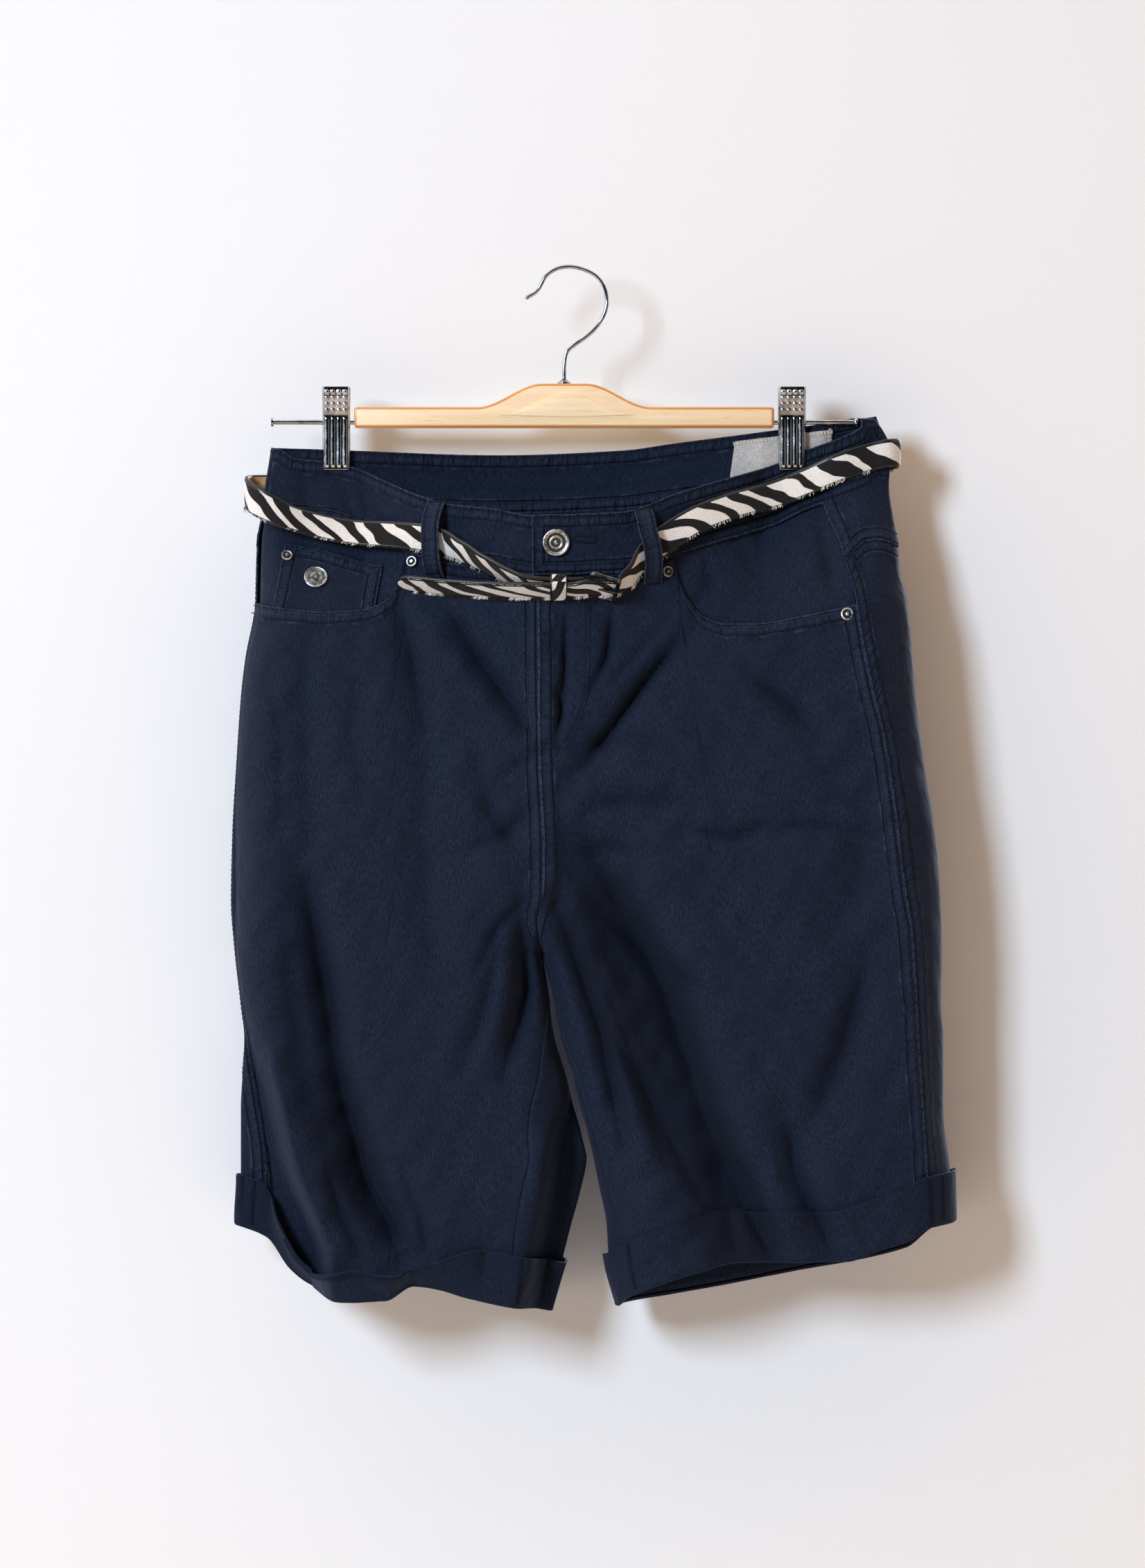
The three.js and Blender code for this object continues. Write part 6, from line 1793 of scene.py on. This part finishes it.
# Profiles of radius and height; a rivet's radii are shares of its own
BUTTON_PROFILE = (
    (0, 0), (3, 0), (3, 1), (7.9, 1), (8.35, 1.25), (8.5, 1.7), (8.42, 2.35), (8.1, 2.85), (7.5, 3.02),
    (6.9, 2.86), (6.5, 2.45), (6.0, 2.25), (4.4, 2.2), (4.1, 2.45), (3.7, 2.62), (3.3, 2.45), (3.0, 2.2),
    (1.5, 2.15), (1.2, 2.3), (0.8, 2.42), (0, 2.46),
)
BADGE_PROFILE = (
    (0, 0), (7.0, 0), (7.2, 0.3), (7.1, 0.75), (6.7, 0.95), (6.25, 0.8), (6.1, 0.55), (3.2, 0.6), (0, 0.62),
)
RIVET_PROFILE = (
    (0, 0), (0.92, 0), (1, 0.25), (0.99, 0.6), (0.88, 0.95), (0.72, 0.95), (0.6, 0.62), (0.52, 0.4),
    (0.44, 0.42), (0.38, 0.95), (0.28, 1.35), (0, 1.5),
)
RIVETS = {
    "rivet_coin": ("right", -175.4, -179.3, COIN_LIFT + 0.8, 3.45),
    "rivet_right": ("right", -97.6, -183.6, 1.1, 3.45),
    "rivet_left_inner": ("left", 60.5, -190, 0.9, 3.45),
    "rivet_left_outer": ("left", 171.5, -216.5, 0.5, 4),
}


class SHORTS_OT_trims(bpy.types.Operator):
    """Shank button, rivets and badge"""

    bl_idname = "shorts.trims"
    bl_label = "Button, rivets and badge"

    def execute(self, context):
        seat, axis = self.seat("left", -8.2, -172.4, TAB_LIFT + BAND_LIFT + 0.2)
        chosen = ringed(1.3, 3.1, 4.3, 6.1)
        button = turned("waist_button_disc", BUTTON_PROFILE, seat, axis, ["nickel", "recess"], 64, chosen)
        keep(button, "nickel", "waist_button")
        keep(self.rays("waist_button_rays", seat, axis, 30, (4.6, 5.8), 2.3, 0.26), "nickel")
        seat, axis = self.seat("right", -157.4, -193.1, COIN_LIFT + 0.9)
        keep(turned("pocket_badge_disc", BADGE_PROFILE, seat, axis, ["nickel"], 56), "nickel", "pocket_badge")
        keep(self.rays("pocket_badge_rays", seat, axis, 24, (3.9, 5.3), 0.72, 0.3), "nickel")
        keep(self.rays("pocket_badge_centre", seat, axis, 10, (1.0, 2.6), 0.72, 0.34), "nickel")
        for name, (side, x, z, lift, r) in RIVETS.items():
            seat, axis = self.seat(side, x, z, lift)
            profile = [(r * share, height) for share, height in RIVET_PROFILE]
            chosen = ringed(r * 0.26, r * 0.74)
            keep(turned(name + "_stud", profile, seat, axis, ["nickel", "recess"], 40, chosen), "nickel", name)
        return {"FINISHED"}

    def seat(self, side, x, z, lift):
        """Place and direction of a trim on the front of the cloth."""
        point, normal = surface(side, False, np.array([x]), np.array([z]), lift, 0)
        return point[0], normal[0]

    def rays(self, name, seat, axis, count, reach, height, radius):
        """A ring of short raised strokes round a disc, dark in their hollows."""
        angle = np.arange(count) * 2 * np.pi / count
        level = unit(np.cross(axis, (0, 0, 1.0)))
        way = np.cos(angle)[:, None] * level + np.sin(angle)[:, None] * np.cross(level, axis)
        foot = seat + axis * height
        axes = np.repeat(axis[None], count, axis=0)
        return repeated(name, foot + way * reach[0], foot + way * reach[1], axes, radius, "recess")


class SHORTS_OT_hanger(bpy.types.Operator):
    """Wooden bar, inlay, hook and ferrule"""

    bl_idname = "shorts.hanger"
    bl_label = "Hanger"

    def execute(self, context):
        half = BAR_LENGTH / 2
        hump = np.linspace(-HUMP["half"], HUMP["half"], 41)
        x = np.concatenate([[-half], hump, [half]])
        bar = board("hanger_bar_wood", x, np.full(len(x), BAR_BOTTOM), bar_crest(x), BAR_DEEP, 1.6,
                    ["wood", "chamfer"], (HANGER_X, 0, 0))
        keep(bar, "wood", "hanger_bar")
        x = np.linspace(-42, 42, 41)
        swell = np.clip(np.cos(x / 42 * math.pi / 2), 0, 1)
        inlay = board("hanger_inlay_wood", x, -91.4 - 1.2 * swell, -91.3 + 14.0 * swell ** 2.4, 1.0, 0.25,
                      ["pale_wood"], (HANGER_X + 1, -(BAR_DEEP / 2 + 0.3), 0), 2)
        keep(inlay, "pale_wood", "hanger_inlay")
        stations = np.column_stack([HOOK_LINE["x"], np.zeros(len(HOOK_LINE["x"])), HOOK_LINE["z"]])
        centres, tangents = through(stations, 220)
        depth_way = np.repeat(np.array([[0, 1.0, 0]]), len(centres), axis=0)
        angle = np.linspace(0, 2 * np.pi, 20, endpoint=False)
        section = WIRE_RADIUS * np.column_stack([np.cos(angle), np.sin(angle)])
        side = unit(np.cross(depth_way, tangents))
        wire = swept("hanger_hook_wire", centres, side, depth_way, section, ["chrome"])
        keep(wire, "chrome", "hanger_hook")
        ball = [(1.5 * math.sin(a), -1.5 * math.cos(a)) for a in np.linspace(0, math.pi, 14)]
        keep(turned("hook_ball", ball, centres[0], (0, 0, 1), ["chrome"], 28), "chrome")
        top = BAR_TOP + HUMP["rise"] + 0.2
        ring = turned("hook_ferrule_ring", FERRULE_PROFILE, (HANGER_X, 0, top), (0, 0, 1), ["chrome"], 40)
        keep(ring, "chrome", "hook_ferrule")
        return {"FINISHED"}


class SHORTS_OT_clips(bpy.types.Operator):
    """Rods, jaws and barrels of the two clips"""

    bl_idname = "shorts.clips"
    bl_label = "Clips"

    def execute(self, context):
        for side in SIDES:
            sign = outward(side)
            start = (HANGER_X + sign * (BAR_LENGTH / 2 + 0.1), 0, ROD_Z)
            rod = turned("clip_rod_bar_" + side, ROD_PROFILE, start, (sign, 0, 0), ["chrome"], 28)
            keep(rod, "chrome", "clip_rod_" + side)
            centre_x = HANGER_X + sign * CLIP_REACH
            start = (centre_x - 5.5, 0, ROD_Z)
            barrel = turned("clip_barrel_tube_" + side, BARREL_PROFILE, start, (1, 0, 0), ["chrome"], 28)
            keep(barrel, "chrome", "clip_barrel_" + side)
            for facing in ("front", "back"):
                jaw = jaw_cloth(facing, centre_x)
                name = f"clip_{side}_{facing}_plate"
                obj = laid_out(name, jaw.points, jaw.normals, ["chrome"], flat_coordinates(jaw))
                modify(obj, "SOLIDIFY", thickness=0.0009, offset=-1)
                keep(obj, "chrome", f"clip_{side}_{facing}")
        return {"FINISHED"}


def light(name, place, aim, size, power, tint):
    lamp = bpy.data.lights.new(name, "AREA")
    lamp.shape = "RECTANGLE"
    lamp.size, lamp.size_y = size
    lamp.energy = power
    lamp.color = linear(tint)[:3]
    obj = bpy.data.objects.new(name, lamp)
    obj.location = place
    obj.rotation_euler = (Vector(aim) - Vector(place)).to_track_quat("-Z", "Y").to_euler()
    bpy.context.scene.collection.objects.link(obj)


def lit_room(strength):
    """Light from all round, dark behind the camera so that metal has contrast: warm where it falls
    on matt surfaces, as after a bounce from a wooden floor, and white in reflections."""
    world = bpy.context.scene.world or bpy.data.worlds.new("warm_room")
    bpy.context.scene.world = world
    world.use_nodes = True
    tree = world.node_tree
    way = add(tree, "SeparateXYZ", (add(tree, "TexCoord", out="Generated"),)).node.outputs
    level = add(tree, "MapRange", (way["Y"], -0.62, -0.34, 0.015, 1.0), **SMOOTH)
    for values in ((way["X"], -0.7, 0.7, 1.3, 0.7), (way["Z"], -0.6, 0.6, 0.35, 1.6)):
        part = add(tree, "MapRange", values, **SMOOTH)
        level = add(tree, "Math", (level, part), **TIMES)
    level = add(tree, "Math", (level, strength), **TIMES)
    ray = add(tree, "LightPath").node.outputs
    lit = add(tree, "Mix", {0: ray["Is Glossy Ray"], 6: linear("#ffce9e"), 7: linear("#e4e6ea")}, **COLOUR)
    unseen = add(tree, "Math", (1.0, ray["Is Camera Ray"]), operation="SUBTRACT")
    level = add(tree, "Math", (level, unseen), **TIMES)
    feed(tree, tree.nodes["Background"], {
        "Color": add(tree, "Mix", {0: ray["Is Camera Ray"], 6: lit, 7: linear("#e9ebec")}, **COLOUR),
        "Strength": add(tree, "Math", (level, ray["Is Camera Ray"]), **PLUS),
    })


STAGE_SIZE = 3.0
SENSOR = 36


class SHORTS_OT_stage(bpy.types.Operator):
    """Pale wall and floor, soft light from the left, and the camera"""

    bl_idname = "shorts.stage"
    bl_label = "Stage"

    def execute(self, context):
        s = settings()
        for name, place, turn, tones in (
            ("stage_wall", (0, 0.046, 0.2), math.pi / 2, ("wall_colour", "#ecf0f2")),
            ("stage_floor", (0, -1.4, -1.3), 0.0, ("#c2c1be", "#bcbbb8")),
        ):
            bm = bmesh.new()
            bmesh.ops.create_grid(bm, x_segments=2, y_segments=2, size=STAGE_SIZE)
            bmesh.ops.rotate(bm, cent=(0, 0, 0), matrix=Matrix.Rotation(turn, 3, "X"), verts=bm.verts)
            bmesh.ops.translate(bm, vec=place, verts=bm.verts)
            obj = bpy.data.objects.new(name, meshed(bm, name))
            bpy.context.scene.collection.objects.link(obj)
            obj.data.materials.append(plaster(name.replace("stage", "matt"), *tones))
        aim = Vector(s.centre)
        light("key_light", (-2.1, -3.25, 0.85), aim, (0.8, 1.2), s.key, "#d6e8fb")
        light("back_light", (1.6, 3.2, 0.8), aim, (1.4, 1.4), s.key * 0.95, "#e6f0ff")
        lit_room(s.room)
        context.scene.view_settings.view_transform = "Standard"
        camera = bpy.data.cameras.new("camera")
        camera.sensor_fit = "AUTO"
        camera.sensor_width = SENSOR
        camera.lens = SENSOR * s.distance / s.view_height
        camera.clip_end = 50
        obj = bpy.data.objects.new("camera", camera)
        obj.location = aim - Vector((0, s.distance, 0))
        obj.rotation_euler = (math.pi / 2, 0, 0)
        bpy.context.scene.collection.objects.link(obj)
        bpy.context.scene.camera = obj
        return {"FINISHED"}


OPERATORS = (
    SHORTS_OT_stage, SHORTS_OT_legs, SHORTS_OT_waist, SHORTS_OT_pockets, SHORTS_OT_cuffs, SHORTS_OT_loops,
    SHORTS_OT_label, SHORTS_OT_stitches, SHORTS_OT_belt, SHORTS_OT_trims, SHORTS_OT_hanger, SHORTS_OT_clips,
)


class SHORTS_PT_pieces(bpy.types.Panel):
    """Lists the settings and the pieces in the sidebar"""

    bl_idname = "SHORTS_PT_pieces"
    bl_label = "Shorts"
    bl_space_type = "VIEW_3D"
    bl_region_type = "UI"
    bl_category = "Shorts"

    def draw(self, context):
        for name in ShortsSettings.__annotations__:
            self.layout.prop(settings(), name)
        for operator in OPERATORS:
            self.layout.operator(operator.bl_idname)


CLASSES = (ShortsSettings, *OPERATORS, SHORTS_PT_pieces)


def register():
    for cls in CLASSES:
        bpy.utils.register_class(cls)
    bpy.types.Scene.shorts = PointerProperty(type=ShortsSettings)


def unregister():
    del bpy.types.Scene.shorts
    for cls in reversed(CLASSES):
        bpy.utils.unregister_class(cls)


def main():
    register()
    for operator in OPERATORS:
        getattr(bpy.ops.shorts, operator.bl_idname.split(".")[1])()


if __name__ == "__main__":
    main()
